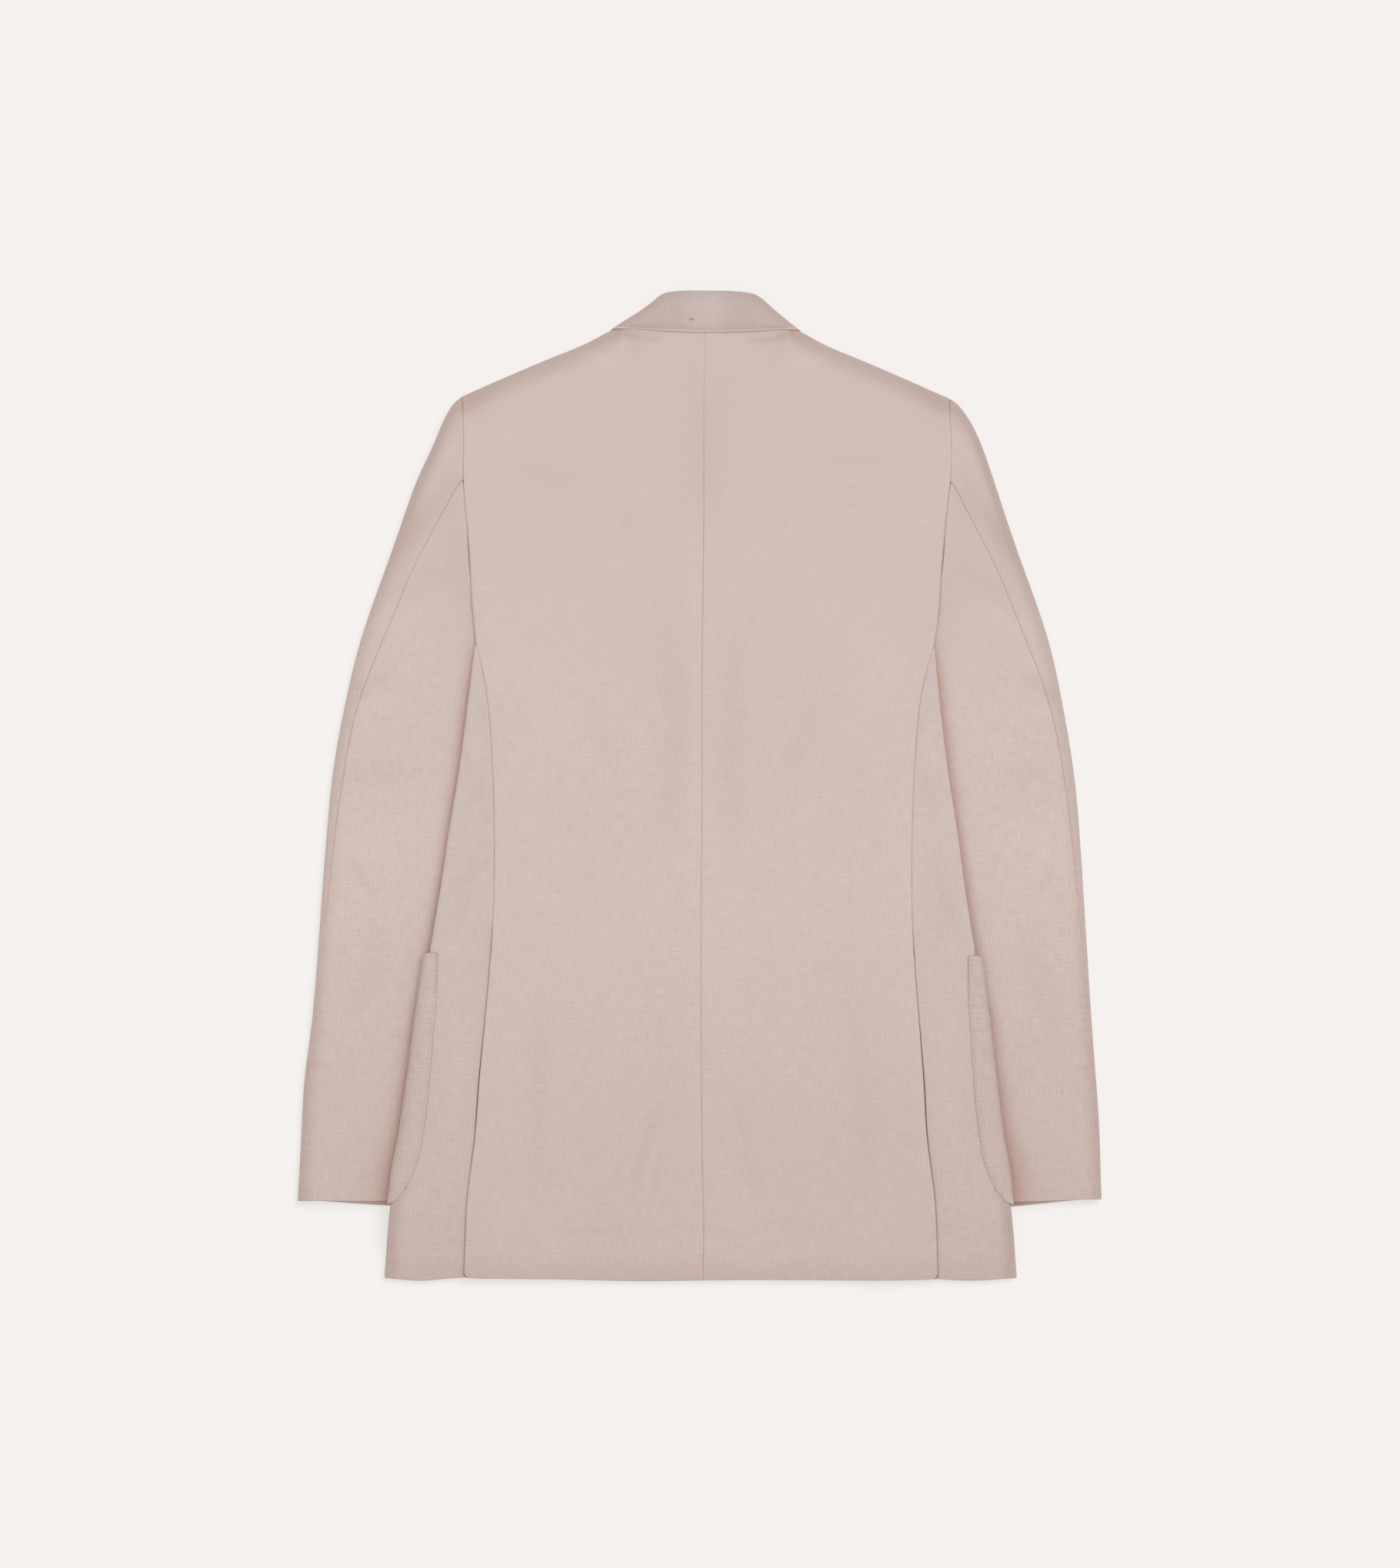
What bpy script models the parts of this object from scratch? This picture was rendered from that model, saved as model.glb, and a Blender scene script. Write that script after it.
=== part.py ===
"""A double-breasted linen blazer lying face down with its sleeves tucked under its side edges.

+X is the wearer's right, +Y points to the collar and +Z is up. Sizes are in millimetres
and the meshes are scaled to metres. Each panel is a lofted wall: a grid is moved onto the
panel's middle surface and thickened. Half widths are given once and used on both sides.
"""

import math

import bmesh
import bpy
import numpy as np

MM = 0.001
CLOTH = 1.5          # shell cloth with its backing
DOUBLE = 2.4         # lapels, collar fall and patch pockets are two layers
GAP = 0.3            # between pieces at seams and between layers
HALF = CLOTH / 2
HALF_DOUBLE = DOUBLE / 2
LAYER = CLOTH + GAP

# Heights of the walls' middle surfaces above the surface that the blazer lies on
SLEEVE_LOW = HALF
SLEEVE_TOP = 5.6
FRONT_FLAT = DOUBLE + GAP + HALF
OVER_SLEEVE = 7.6
OVER_POCKET = 10.1
SIDE_DEPTH = 4.9     # from the lower wall to the upper wall of the side
BACK_FLAT = 8.6
BACK_HEM = 4.6
SHOULDER_MIDDLE = 6.0
SHOULDER_GAP = 1.1   # the walls' ends face each other across the shoulder seam
STAND_HEIGHT = 8.7

HEM = -382.0
UNDERARM = 108.0
BREAK_POINT = -45.0
OVERLAP = 75.0
ROLL = 3.2           # reach of the tight part of a fold
EASE = 18.0          # reach of its soft part
VENT_TOP = -122.5
VENT_WIDTH = 38.0
NOTCH = 262.0        # the lapel's upper edge meets the collar above this level
ARMHOLE_X = 187.6    # upper ends of the armholes
FAN_START = 200.0    # above this the back's rows turn to follow the shoulder line
FAN_HEIGHT = 110.0
SLEEVE_CLEAR = 36.0  # the upper front is level again this far in from its side seam

LINEN = (0.63, 0.52, 0.48, 1.0)
LINEN_INNER = (0.60, 0.49, 0.45, 1.0)
HORN = (0.30, 0.21, 0.16, 1.0)

BODY_STATIONS = (HEM, -366, -353, -340, -285, -230, -175, -130, -100, -75, -50, 0, 45, 85)


def table(names, rows):
    """Columns of a table by name, each as an array."""
    return dict(zip(names.split(), np.array(rows, dtype=float).T))


BODY = table("y fold back_seam front_seam", (
    (-382, 243.7, 185.2, 194.0),
    (-351, 241.3, 184.2, 192.0),
    (-322, 237.8, 183.0, 188.0),
    (-268, 230.8, 177.0, 183.0),
    (-226, 224.6, 174.0, 177.0),
    (-190, 220.0, 170.0, 172.0),
    (-129, 211.8, 164.0, 164.0),
    (-83, 204.6, 161.8, 157.5),
    (-39, 197.7, 161.2, 150.5),
    (12, 188.8, 162.0, 143.0),
    (73, 180.8, 166.5, 128.5),
    (108, 176.6, 175.6, 121.0),
))

SLEEVE = table("outer_x outer_y inner_x inner_y fan back_seam", (
    (188.4, 299.4, 125.0, 85.0, 1.00, 64.0),
    (196.4, 292.4, 124.7, 84.0, 0.92, 63.0),
    (207.3, 274.6, 124.0, 82.0, 0.80, 57.0),
    (221.3, 238.8, 123.0, 79.0, 0.58, 40.0),
    (239.8, 184.8, 121.5, 74.0, 0.28, 22.0),
    (264.3, 113.8, 120.0, 69.0, 0.00, 15.0),
    (277.3, 59.8, 130.0, 28.0, 0.00, 9.0),
    (286.3, 7.0, 139.0, -14.0, 0.00, 7.5),
    (291.3, -47.0, 146.5, -60.0, 0.00, 5.5),
    (296.3, -119.0, 156.0, -128.0, 0.00, 3.0),
    (301.3, -190.0, 165.4, -199.0, 0.00, 2.0),
    (307.3, -262.0, 175.0, -270.0, 0.00, 2.0),
    (310.3, -319.5, 181.0, -323.5, 0.00, 2.0),
))

ROLL_LINE = table("y x", ((-45, -75), (110, -28), (205, 1), (300, 29.5)))
LAPEL_EDGE = table("y x", (
    (-45, -66), (0, -33), (50, 5), (110, 48), (170, 80), (230, 103), (262, 112)))
ARMHOLE_BACK = table("x y", (
    (188.4, 299.4), (187.4, 234), (183.8, 189), (181.3, 151), (177.4, 117), (177.0, 108),
    (152, 97), (125, 85)))
ARMHOLE_FRONT = table("x y", ((188.4, 299.4), (172, 250), (155, 190), (137, 125), (125, 85)))
BACK_ARMHOLE = table("y x", (
    (108, 175.8), (117, 176.6), (151, 180.4), (189, 182.9), (234, 186.6), (300, 187.8)))
FRONT_ARMHOLE = table("y x", ((85, 124.2), (125, 136), (190, 154), (250, 171), (300, 187.4)))
TOP_EDGE = table("x y", (
    (0, 355), (30, 356), (50, 356), (60, 353.8), (67, 350.2), (76, 348.0), (84, 345.3),
    (126, 327.3), (166, 309.8), (188.4, 299.4)))
POCKET_REAR = table("y x", (
    (-307, 227.5), (-292, 221.0), (-260, 215.0), (-225, 211.5), (-190, 208.7),
    (-165, 206.3), (-131, 204.7)))
POCKET_FOOT = table("share y", (
    (0, -307), (0.05, -318), (0.12, -329), (0.25, -335), (0.8, -335), (0.93, -330), (1, -312)))
COLLAR = table("roll_x roll_y edge_x edge_y z", (
    (0.0, 381.2, 0.0, 350.4, 11.9),
    (18.0, 381.0, 20.0, 350.8, 11.9),
    (34.5, 379.4, 38.0, 351.6, 11.9),
    (42.0, 376.0, 53.0, 352.8, 11.6),
    (46.6, 372.2, 65.0, 352.8, 9.8),
    (48.2, 370.9, 70.8, 352.2, 6.4),
    (47.4, 369.2, 73.0, 351.0, 3.2),
    (45.0, 364.0, 76.5, 345.4, 1.2),
    (40.0, 342.0, 86.0, 321.0, 1.2),
    (34.5, 319.0, 91.0, 291.0, 1.2),
    (30.0, 301.0, 78.0, 263.0, 1.2),
))
BUTTON_ROWS = ((60, 85), (-70, 56), (-175, 56))
BUTTON_DIAMETER = 23.0
BUTTON_HEIGHT = 2.4


def smooth_read(source, key, column, value):
    """Value of a column along a smooth curve through the table's rows."""
    keys, values = source[key], source[column]
    slopes = np.gradient(values, keys)
    i = int(np.clip(np.searchsorted(keys, value) - 1, 0, len(keys) - 2))
    width = keys[i + 1] - keys[i]
    t = min(max((value - keys[i]) / width, 0.0), 1.0)
    start = (1 + 2 * t) * (1 - t) ** 2 * values[i] + t * (1 - t) ** 2 * width * slopes[i]
    end = t * t * (3 - 2 * t) * values[i + 1] + t * t * (t - 1) * width * slopes[i + 1]
    return float(start + end)


def body(column, y):
    return smooth_read(BODY, "y", column, min(max(y, HEM), UNDERARM))


def ease(value, start, end):
    """Smooth step from 0 at start to 1 at end."""
    t = min(max((value - start) / (end - start), 0.0), 1.0)
    return t * t * (3 - 2 * t)


def mix(a, b, share):
    return a + (b - a) * share


def arc(distance, reach):
    """Height of a quarter circle at a distance from its tip."""
    t = min(max(distance / reach, 0.0), 1.0)
    return math.sqrt(1 - (1 - t) ** 2)


def soft_arc(distance):
    """A tight quarter circle followed by a gentle rise."""
    return 0.72 * arc(distance, ROLL) + 0.28 * ease(distance, 0, EASE)


def sleeve_inner(y):
    """Inner fold of the sleeve, which lies under the body."""
    order = slice(None, None, -1)
    return float(np.interp(y, SLEEVE["inner_y"][5:][order], SLEEVE["inner_x"][5:][order]))


def hem_drop(y):
    return ease(y, -340, -366)


def side_level(y):
    """The body's lower wall where it lies over the sleeve and the pocket."""
    return mix(OVER_SLEEVE, OVER_POCKET, ease(y, -50, -100))


def over_sleeve(x, y):
    """1 where the lower wall lies over the sleeve, 0 where it lies inside it."""
    top = 85 + max(x - 125, 0) * 0.44
    inner = sleeve_inner(y)
    across = ease(x, inner - 28, inner - 6)
    return across * ease(y, top + 34, top + 3) * (1 - hem_drop(y))


def lower_z(x, y):
    """Middle of the body's lower wall, before the side fold's curve."""
    flat = mix(FRONT_FLAT, HALF, hem_drop(y))
    return mix(flat, side_level(y), over_sleeve(x, y))


def upper_flat(x, y):
    """Middle of the body's upper wall, before its edges curve down."""
    chest = (1 - ease(x, 110, 150)) * ease(y, -110, -60) * (1 - ease(y, 250, 320))
    base = BACK_FLAT + 1.2 * chest
    side = side_level(y) + mix(LAYER, SIDE_DEPTH, ease(y, UNDERARM, 60))
    inner = sleeve_inner(y)
    raised = ease(x, inner - 60, inner + 12) * ease(y, 185, 115)
    return mix(mix(base, side, raised), BACK_HEM, ease(y, -325, HEM))


def fold_middle(y):
    edge = body("fold", y)
    return (lower_z(edge, y) + upper_flat(edge, y)) / 2


def shoulder_distance(x, y):
    """Distance down from the shoulder line, large beside the neck."""
    line = smooth_read(TOP_EDGE, "x", "y", min(x, 188.4))
    return (line - y) * 0.92 + 30 * (1 - ease(x, 60, 70))


def upper_z(x, y):
    z = upper_flat(x, y)
    beyond = max(y - UNDERARM, 0) * 2.5
    middle = fold_middle(min(y, UNDERARM))
    z = mix(middle, z, soft_arc(body("fold", y) + beyond - x))
    return mix(SHOULDER_MIDDLE + SHOULDER_GAP / 2, z, soft_arc(shoulder_distance(x, y)))


def front_z(x, y):
    edge = shoulder_distance(x, y)
    return mix(SHOULDER_MIDDLE - SHOULDER_GAP / 2, lower_z(x, y), arc(edge, ROLL))


def lofted(name, place, columns, rows, thickness, colour):
    """A wall through a grid of points: place(column, row) gives each one in millimetres."""
    mesh = bpy.data.meshes.new(name)
    grid = bmesh.new()
    bmesh.ops.create_grid(grid, x_segments=columns - 1, y_segments=rows - 1, size=1.0)
    for vertex in grid.verts:
        column = round((vertex.co.x + 1) / 2 * (columns - 1))
        row = round((vertex.co.y + 1) / 2 * (rows - 1))
        vertex.co = [MM * value for value in place(column, row)]
    grid.to_mesh(mesh)
    grid.free()
    piece = bpy.data.objects.new(name, mesh)
    shape.objects.link(piece)
    wall = piece.modifiers.new("wall", "SOLIDIFY")
    wall.thickness = thickness * MM
    wall.offset = 0.0
    wall.use_quality_normals = True
    mesh.materials.append(finish(name, colour))
    return piece


def finish(name, colour, roughness=0.85):
    """A plain Principled material for one piece."""
    material = bpy.data.materials.new(name + "_finish")
    material.use_nodes = True
    shader = material.node_tree.nodes["Principled BSDF"]
    shader.inputs["Base Color"].default_value = colour
    shader.inputs["Roughness"].default_value = roughness
    shader.inputs["Metallic"].default_value = 0.0
    material.diffuse_color = colour
    return material


def clear_scene():
    for item in list(bpy.data.objects):
        bpy.data.objects.remove(item, do_unlink=True)


def body_rows(stations, fan_shares, top_steps):
    """Rows of a body panel: level stations, then rows that fan out to the top edge."""
    return ([("level", y) for y in stations]
            + [("fan", share) for share in fan_shares]
            + [("top", step) for step in top_steps])


TOP_STEPS = (14.0, 4.0, 1.0, 0.0)
BACK_ROWS = body_rows(BODY_STATIONS + (UNDERARM, 125, 165, 205, 240, 270), (), TOP_STEPS)
BACK_COLUMNS = (0, 0.13, 0.26, 0.36, 0.51, 0.67, 0.84, 1.0)


def vent_lift(x, y):
    """The back lies over the vent's underlap, and settles again further in."""
    inward = body("back_seam", y) - x
    return LAYER * ease(y, -100, VENT_TOP) * (1 - ease(inward, VENT_WIDTH + 4, 85))


def back_edge(y):
    """Outer edge of a back half: side seam, vent edge or armhole."""
    if y > UNDERARM:
        return smooth_read(BACK_ARMHOLE, "y", "x", y)
    lap = mix(-GAP / 2, 1.2, ease(y, -130, -150))
    return body("back_seam", y) + lap - GAP * ease(y, 60, UNDERARM)


def back_half(side):
    def place(column, row):
        share = BACK_COLUMNS[column]
        kind, value = BACK_ROWS[row]
        across = mix(GAP / 2, ARMHOLE_X, share)
        top = smooth_read(TOP_EDGE, "x", "y", across)
        if kind == "level":
            y = value
            if y > FAN_START:
                y = mix(FAN_START, top - TOP_STEPS[0], (value - FAN_START) / FAN_HEIGHT)
            x = mix(GAP / 2, back_edge(y), share)
        else:
            y = top - value
            x = back_edge(y) if share == 1.0 else across
        return side * x, y, upper_z(x, y) + vent_lift(x, y)

    name = "back_right" if side > 0 else "back_left"
    lofted(name, place, len(BACK_COLUMNS), len(BACK_ROWS), CLOTH, LINEN)


def side_point(reach, y):
    """Point of the side's wall: reach is positive on the upper side of the fold."""
    edge = body("fold", y)
    middle = fold_middle(y)
    if reach >= 0:
        return edge - reach, y, upper_z(edge - reach, y)
    x = edge + reach
    return x, y, mix(middle, lower_z(x, y), arc(-reach, ROLL))


SIDE_STATIONS = BODY_STATIONS + (UNDERARM - 1.0,)
UNDERARM_DROP = 22.0     # the armhole falls this far from the fold to the front seam
SIDE_TOP_INNER = 126.3   # where the side's upper edge meets the front


def side_panel(side):
    def place(column, row):
        y = SIDE_STATIONS[row]
        edge = body("fold", y)
        upper = edge - body("back_seam", y) - GAP / 2
        lower = edge - body("front_seam", y) - GAP / 2
        squeeze = min(1.0, upper / 8)
        bend = ROLL * squeeze
        reach = (-lower, -lower * 0.55, -ROLL, -1.0, -0.25, 0.0,
                 0.25 * squeeze, squeeze, bend, mix(bend, upper, 0.5), upper)[column]
        if row == len(SIDE_STATIONS) - 1 and reach < 0:
            y -= UNDERARM_DROP * min(reach / (SIDE_TOP_INNER - edge), 1.0)
            x = max(edge + reach, SIDE_TOP_INNER)
            return side * x, y, mix(fold_middle(y), lower_z(x, y), arc(-reach, ROLL))
        x, y, z = side_point(reach, y)
        return side * x, y, z

    name = "side_right" if side > 0 else "side_left"
    lofted(name, place, 11, len(SIDE_STATIONS), CLOTH, LINEN)


def vent_underlap(side):
    stations = [y for y in BODY_STATIONS if y < -120]

    def place(column, row):
        y = min(stations[row], VENT_TOP - 4)
        x = body("back_seam", y) - GAP * 1.5 - VENT_WIDTH * column / 2
        return side * x, y, upper_z(x, y)

    name = "vent_underlap_right" if side > 0 else "vent_underlap_left"
    lofted(name, place, 3, len(stations), CLOTH, LINEN_INNER)


def front_lead(y):
    """Leading edge of a front: straight below the break point, then the roll line."""
    if y <= BREAK_POINT:
        return -OVERLAP
    return smooth_read(ROLL_LINE, "y", "x", min(y, 300.0))


def lapel_edge(y):
    return smooth_read(LAPEL_EDGE, "y", "x", min(max(y, BREAK_POINT), NOTCH))


def front_outer(y):
    if y > 85:
        return smooth_read(FRONT_ARMHOLE, "y", "x", y)
    return body("front_seam", y) - GAP / 2


LEFT_RAISE = 4.5     # the left front over the right front and the right lapel


def raise_end(y):
    """Where the raised middle of the upper front begins to come down."""
    return max(lapel_edge(y) + 6, -front_lead(y) + 8) if y > BREAK_POINT else OVERLAP + 8


def left_raise(x, y):
    """The left front lies over the right one, and over its own lapel above the break."""
    height = float(np.interp(y, (-100, -50, 205, NOTCH), (LAYER, LEFT_RAISE, LEFT_RAISE, 0)))
    start = raise_end(y)
    end = mix(start, front_outer(y) - SLEEVE_CLEAR, 0.8)
    return height * min(max((end - x) / (end - start), 0.0), 1.0)


FRONT_ROWS = body_rows(BODY_STATIONS + (103, 125, 165, 205, 233, NOTCH), (0.5,), TOP_STEPS)
NECK_X = 66.0
NECK_EDGE = table("y x", ((NOTCH, 18.0), (300, 29.5), (325, 42.0), (351, NECK_X)))


def front_columns(y):
    """Columns of a front, with three where it climbs over the sleeve's inner fold."""
    lead, outer, start = front_lead(y), front_outer(y), raise_end(y)
    foot = sleeve_inner(y) + 2 if y <= 85 else outer - 2
    end = mix(start, outer - SLEEVE_CLEAR, 0.8)
    return (lead, mix(lead, start, 0.35), mix(lead, start, 0.7), start, end,
            foot - 30, foot - 19, foot - 8, outer)


def front_panel(side):
    def place(column, row):
        kind, value = FRONT_ROWS[row]
        if kind == "level":
            y = value
            x = front_columns(y)[column]
        else:
            low = front_columns(NOTCH)[column]
            share = (0, 0.2, 0.4, 0.6, 0.72, 0.8, 0.87, 0.93, 1.0)[column]
            high = mix(NECK_X, ARMHOLE_X - GAP, share)
            rise = smooth_read(TOP_EDGE, "x", "y", high) - NOTCH
            up = (rise - TOP_STEPS[0]) * value if kind == "fan" else rise - value
            y = NOTCH + up
            x = mix(low, high, min(up / rise, 1.0))
            if column == 0:
                x = max(x, smooth_read(NECK_EDGE, "y", "x", y))
            if column == 8:
                x = front_outer(y)
        lift = left_raise(x, y) if side < 0 else 0.0
        return side * x, y, front_z(x, y) + lift

    name = "front_right" if side > 0 else "front_left"
    lofted(name, place, 9, len(FRONT_ROWS), CLOTH, LINEN)


LAPEL_ROWS = (-43, -30, 0, 45, 85, 125, 165, 205, 233, NOTCH)
LAPEL_TOP = table("share x y", ((0, 29.0, 299.0), (0.6, 77.5, 261.5), (1.0, 121.0, 284.0)))


NOTCH_DIP = 12.0


def lapel(side):
    rows = len(LAPEL_ROWS) + 1

    def place(column, row):
        share = column / 5
        y = LAPEL_ROWS[min(row, rows - 2)]
        x = mix(front_lead(y) + 0.5, lapel_edge(y), share)
        level = y
        y -= NOTCH_DIP * math.sin(math.pi * share) * max(y - 230, 0) / (NOTCH - 230)
        if row == rows - 1:
            x = float(np.interp(share, LAPEL_TOP["share"], LAPEL_TOP["x"]))
            y = float(np.interp(share, LAPEL_TOP["share"], LAPEL_TOP["y"]))
        lift = left_raise(x, level) if side < 0 else 0.0
        return side * x, y, HALF_DOUBLE + lift

    name = "lapel_right" if side > 0 else "lapel_left"
    lofted(name, place, 6, rows, DOUBLE, LINEN)


def along(path, share):
    """Point at a share of a path's length."""
    steps = np.hypot(np.diff(path["x"]), np.diff(path["y"]))
    lengths = np.concatenate(([0.0], np.cumsum(steps)))
    target = share * lengths[-1]
    return (float(np.interp(target, lengths, path["x"])),
            float(np.interp(target, lengths, path["y"])))


def ring(row):
    return {name: float(values[row]) for name, values in SLEEVE.items()}


def ring_width(row):
    r = ring(row)
    chord = math.hypot(r["outer_x"] - r["inner_x"], r["outer_y"] - r["inner_y"])
    return chord + FAN_ROOM * r["fan"]


FAN_ROOM = 25.0      # the sleeve's head is this much wider than its chord
CUFF_DROP = 4.0      # the cuff's lower layer shows below its upper one


def ring_point(row, reach, upper):
    """Point of a sleeve ring, reach in from its outer edge, on its upper or lower wall."""
    r = ring(row)
    width = ring_width(row)
    share = reach / width
    branch = ARMHOLE_BACK if upper else ARMHOLE_FRONT
    bx, by = along(branch, share)
    x = mix(r["outer_x"], r["inner_x"], share)
    y = mix(r["outer_y"], r["inner_y"], share)
    x += r["fan"] * (bx - mix(branch["x"][0], branch["x"][-1], share))
    y += r["fan"] * (by - mix(branch["y"][0], branch["y"][-1], share))
    near = r["fan"] ** 2
    low = SLEEVE_LOW + near * (FRONT_FLAT - SLEEVE_LOW)
    top = SLEEVE_TOP + near * (BACK_FLAT - SLEEVE_TOP) * (1 - ease(share, 0.5, 0.72))
    middle = (low + top) / 2
    edge = width - reach
    if upper:
        shape_here = min(soft_arc(reach), arc(edge, ROLL))
        return x, y, mix(middle, top, shape_here)
    if row == len(SLEEVE["fan"]) - 1:
        y -= CUFF_DROP * ease(share, 0.0, 0.6)
    return x, y, mix(middle, low, min(arc(reach, ROLL), arc(edge, ROLL)))


FRONT_SEAM_REACH = 12.0


def top_sleeve(side):
    """From the back seam round the outer fold and across below to the front seam."""
    def place(column, row):
        seam = SLEEVE["back_seam"][row] - GAP / 2
        end = ring_width(row) - FRONT_SEAM_REACH - GAP
        upper = column < 5
        reach = (seam, seam * 0.55, seam * 0.25, seam * 0.08, 0.0,
                 0.3, 1.2, 4.0, mix(4, end, 0.33), mix(4, end, 0.67), end)[column]
        x, y, z = ring_point(row, reach, upper)
        return side * x, y, z

    name = "top_sleeve_right" if side > 0 else "top_sleeve_left"
    lofted(name, place, 11, len(SLEEVE["fan"]), CLOTH, LINEN)


def under_sleeve(side):
    """From the front seam round the inner fold and across above to the back seam."""
    def place(column, row):
        seam = SLEEVE["back_seam"][row] + GAP / 2
        width = ring_width(row)
        upper = column > 4
        reach = (width - FRONT_SEAM_REACH + 2.5 * GAP, width - 4, width - 1.2, width - 0.3, width,
                 width - 0.3, width - 1.2, width - 4, mix(width - 4, seam, 0.3),
                 mix(width - 4, seam, 0.6), mix(width - 4, seam, 0.85), seam)[column]
        x, y, z = ring_point(row, reach, upper)
        return side * x, y, z

    name = "under_sleeve_right" if side > 0 else "under_sleeve_left"
    lofted(name, place, 12, len(SLEEVE["fan"]), CLOTH, LINEN)


POCKET_MOUTH = -130.5
POCKET_FRONT = 76.0
POCKET_PUFF = 2.75   # how far the pocket stands off the side fold


def pocket_point(reach, y):
    """A point of the side or front, moved out along its normal."""
    before = np.array(side_point(reach - 0.4, y))
    after = np.array(side_point(reach + 0.4, y))
    here = np.array(side_point(reach, y))
    tangent = after - before
    normal = np.array((-tangent[2], 0.0, tangent[0]))
    normal /= np.linalg.norm(normal)
    outward = normal[0] + (normal[2] if reach > 0 else -normal[2])
    if outward < 0:
        normal = -normal
    out = here + normal * (HALF + GAP + HALF_DOUBLE)
    out[0] += POCKET_PUFF * (1 - ease(abs(reach), 0, 12))
    return out


def patch_pocket(side):
    rows = 8

    def place(column, row):
        share = column / 11
        foot = smooth_read(POCKET_FOOT, "share", "y", share)
        y = mix(POCKET_MOUTH, foot, row / (rows - 1))
        edge = body("fold", y)
        rear = max(edge - smooth_read(POCKET_REAR, "y", "x", max(y, -307.0)), 0.5)
        inner = sleeve_inner(y)
        reach = (rear, rear * 0.5, rear * 0.2, -0.4, -1.6, -4.0, -12.0,
                 body("front_seam", y) - edge, inner - 6 - edge, inner - 17 - edge,
                 inner - 28 - edge, POCKET_FRONT - edge)[column]
        x, y, z = pocket_point(reach, y)
        return side * x, y, z

    name = "patch_pocket_right" if side > 0 else "patch_pocket_left"
    lofted(name, place, 12, rows, DOUBLE, LINEN)


def collar_fall():
    """A band across the back of the neck that turns over to the fronts at each side."""
    half = len(COLLAR["z"])

    def place(column, row):
        step = column - (half - 1)
        i = abs(step)
        side = 1 if step >= 0 else -1
        c = {name: float(values[i]) for name, values in COLLAR.items()}
        share = (0.0, 0.05, 0.15, 0.5, 1.0)[row]
        x = mix(c["roll_x"], c["edge_x"], share)
        y = mix(c["roll_y"], c["edge_y"], share)
        turned = ease(c["z"], 9.0, 11.5)
        z = c["z"] - 1.2 * turned * (1 - arc(share, 0.15)) - 0.5 * turned * share
        return side * x, y, z

    lofted("collar_fall", place, 2 * half - 1, 5, DOUBLE, LINEN)


STAND = table("x foot head", (
    (0, 355.4, 379.6), (18, 356.2, 379.4), (32, 356.6, 376.5), (42, 356.7, 370.0),
    (50, 356.4, 363.0)))


def collar_stand():
    half = len(STAND["x"])

    def place(column, row):
        step = column - (half - 1)
        i = abs(step)
        x = float(STAND["x"][i]) * (1 if step >= 0 else -1)
        y = mix(float(STAND["foot"][i]), float(STAND["head"][i]), row / 2)
        return x, y, STAND_HEIGHT

    lofted("collar_stand", place, 2 * half - 1, 3, CLOTH, LINEN_INNER)


def button(number, x, y, z):
    """A turned disc with a raised rim: its profile is spun round its own axis."""
    name = "button_" + str(number)
    radius = BUTTON_DIAMETER / 2
    profile = ((0, 0.9), (radius * 0.62, 0.9), (radius * 0.78, 0.0), (radius * 0.94, 0.1),
               (radius, 0.9), (radius * 0.96, 1.8), (radius * 0.85, BUTTON_HEIGHT), (0, BUTTON_HEIGHT))
    mesh = bpy.data.meshes.new(name)
    turned = bmesh.new()
    ring_points = [turned.verts.new((px * MM, 0.0, pz * MM)) for px, pz in profile]
    edges = [turned.edges.new(pair) for pair in zip(ring_points, ring_points[1:])]
    bmesh.ops.spin(turned, geom=ring_points + edges, cent=(0, 0, 0), axis=(0, 0, 1),
                   angle=2 * math.pi, steps=12, use_merge=True)
    bmesh.ops.remove_doubles(turned, verts=turned.verts, dist=0.00001)
    bmesh.ops.recalc_face_normals(turned, faces=turned.faces)
    turned.to_mesh(mesh)
    turned.free()
    piece = bpy.data.objects.new(name, mesh)
    piece.location = (x * MM, y * MM, z * MM)
    shape.objects.link(piece)
    mesh.materials.append(finish(name, HORN, 0.35))


def buttons():
    number = 1
    for y, x in BUTTON_ROWS:
        for side in (-1, 1):
            raised = y > 0 and side < 0
            z = left_raise(x, y) if raised else 0.0
            button(number, side * x, y, z)
            number += 1


clear_scene()
shape = bpy.data.collections.new("double_breasted_blazer")
bpy.context.scene.collection.children.link(shape)
for hand in (-1, 1):
    back_half(hand)
    side_panel(hand)
    vent_underlap(hand)
    front_panel(hand)
    lapel(hand)
    top_sleeve(hand)
    under_sleeve(hand)
    patch_pocket(hand)
collar_fall()
collar_stand()
buttons()
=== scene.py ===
# A double-breasted linen blazer laid face down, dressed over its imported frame.
import math

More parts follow.
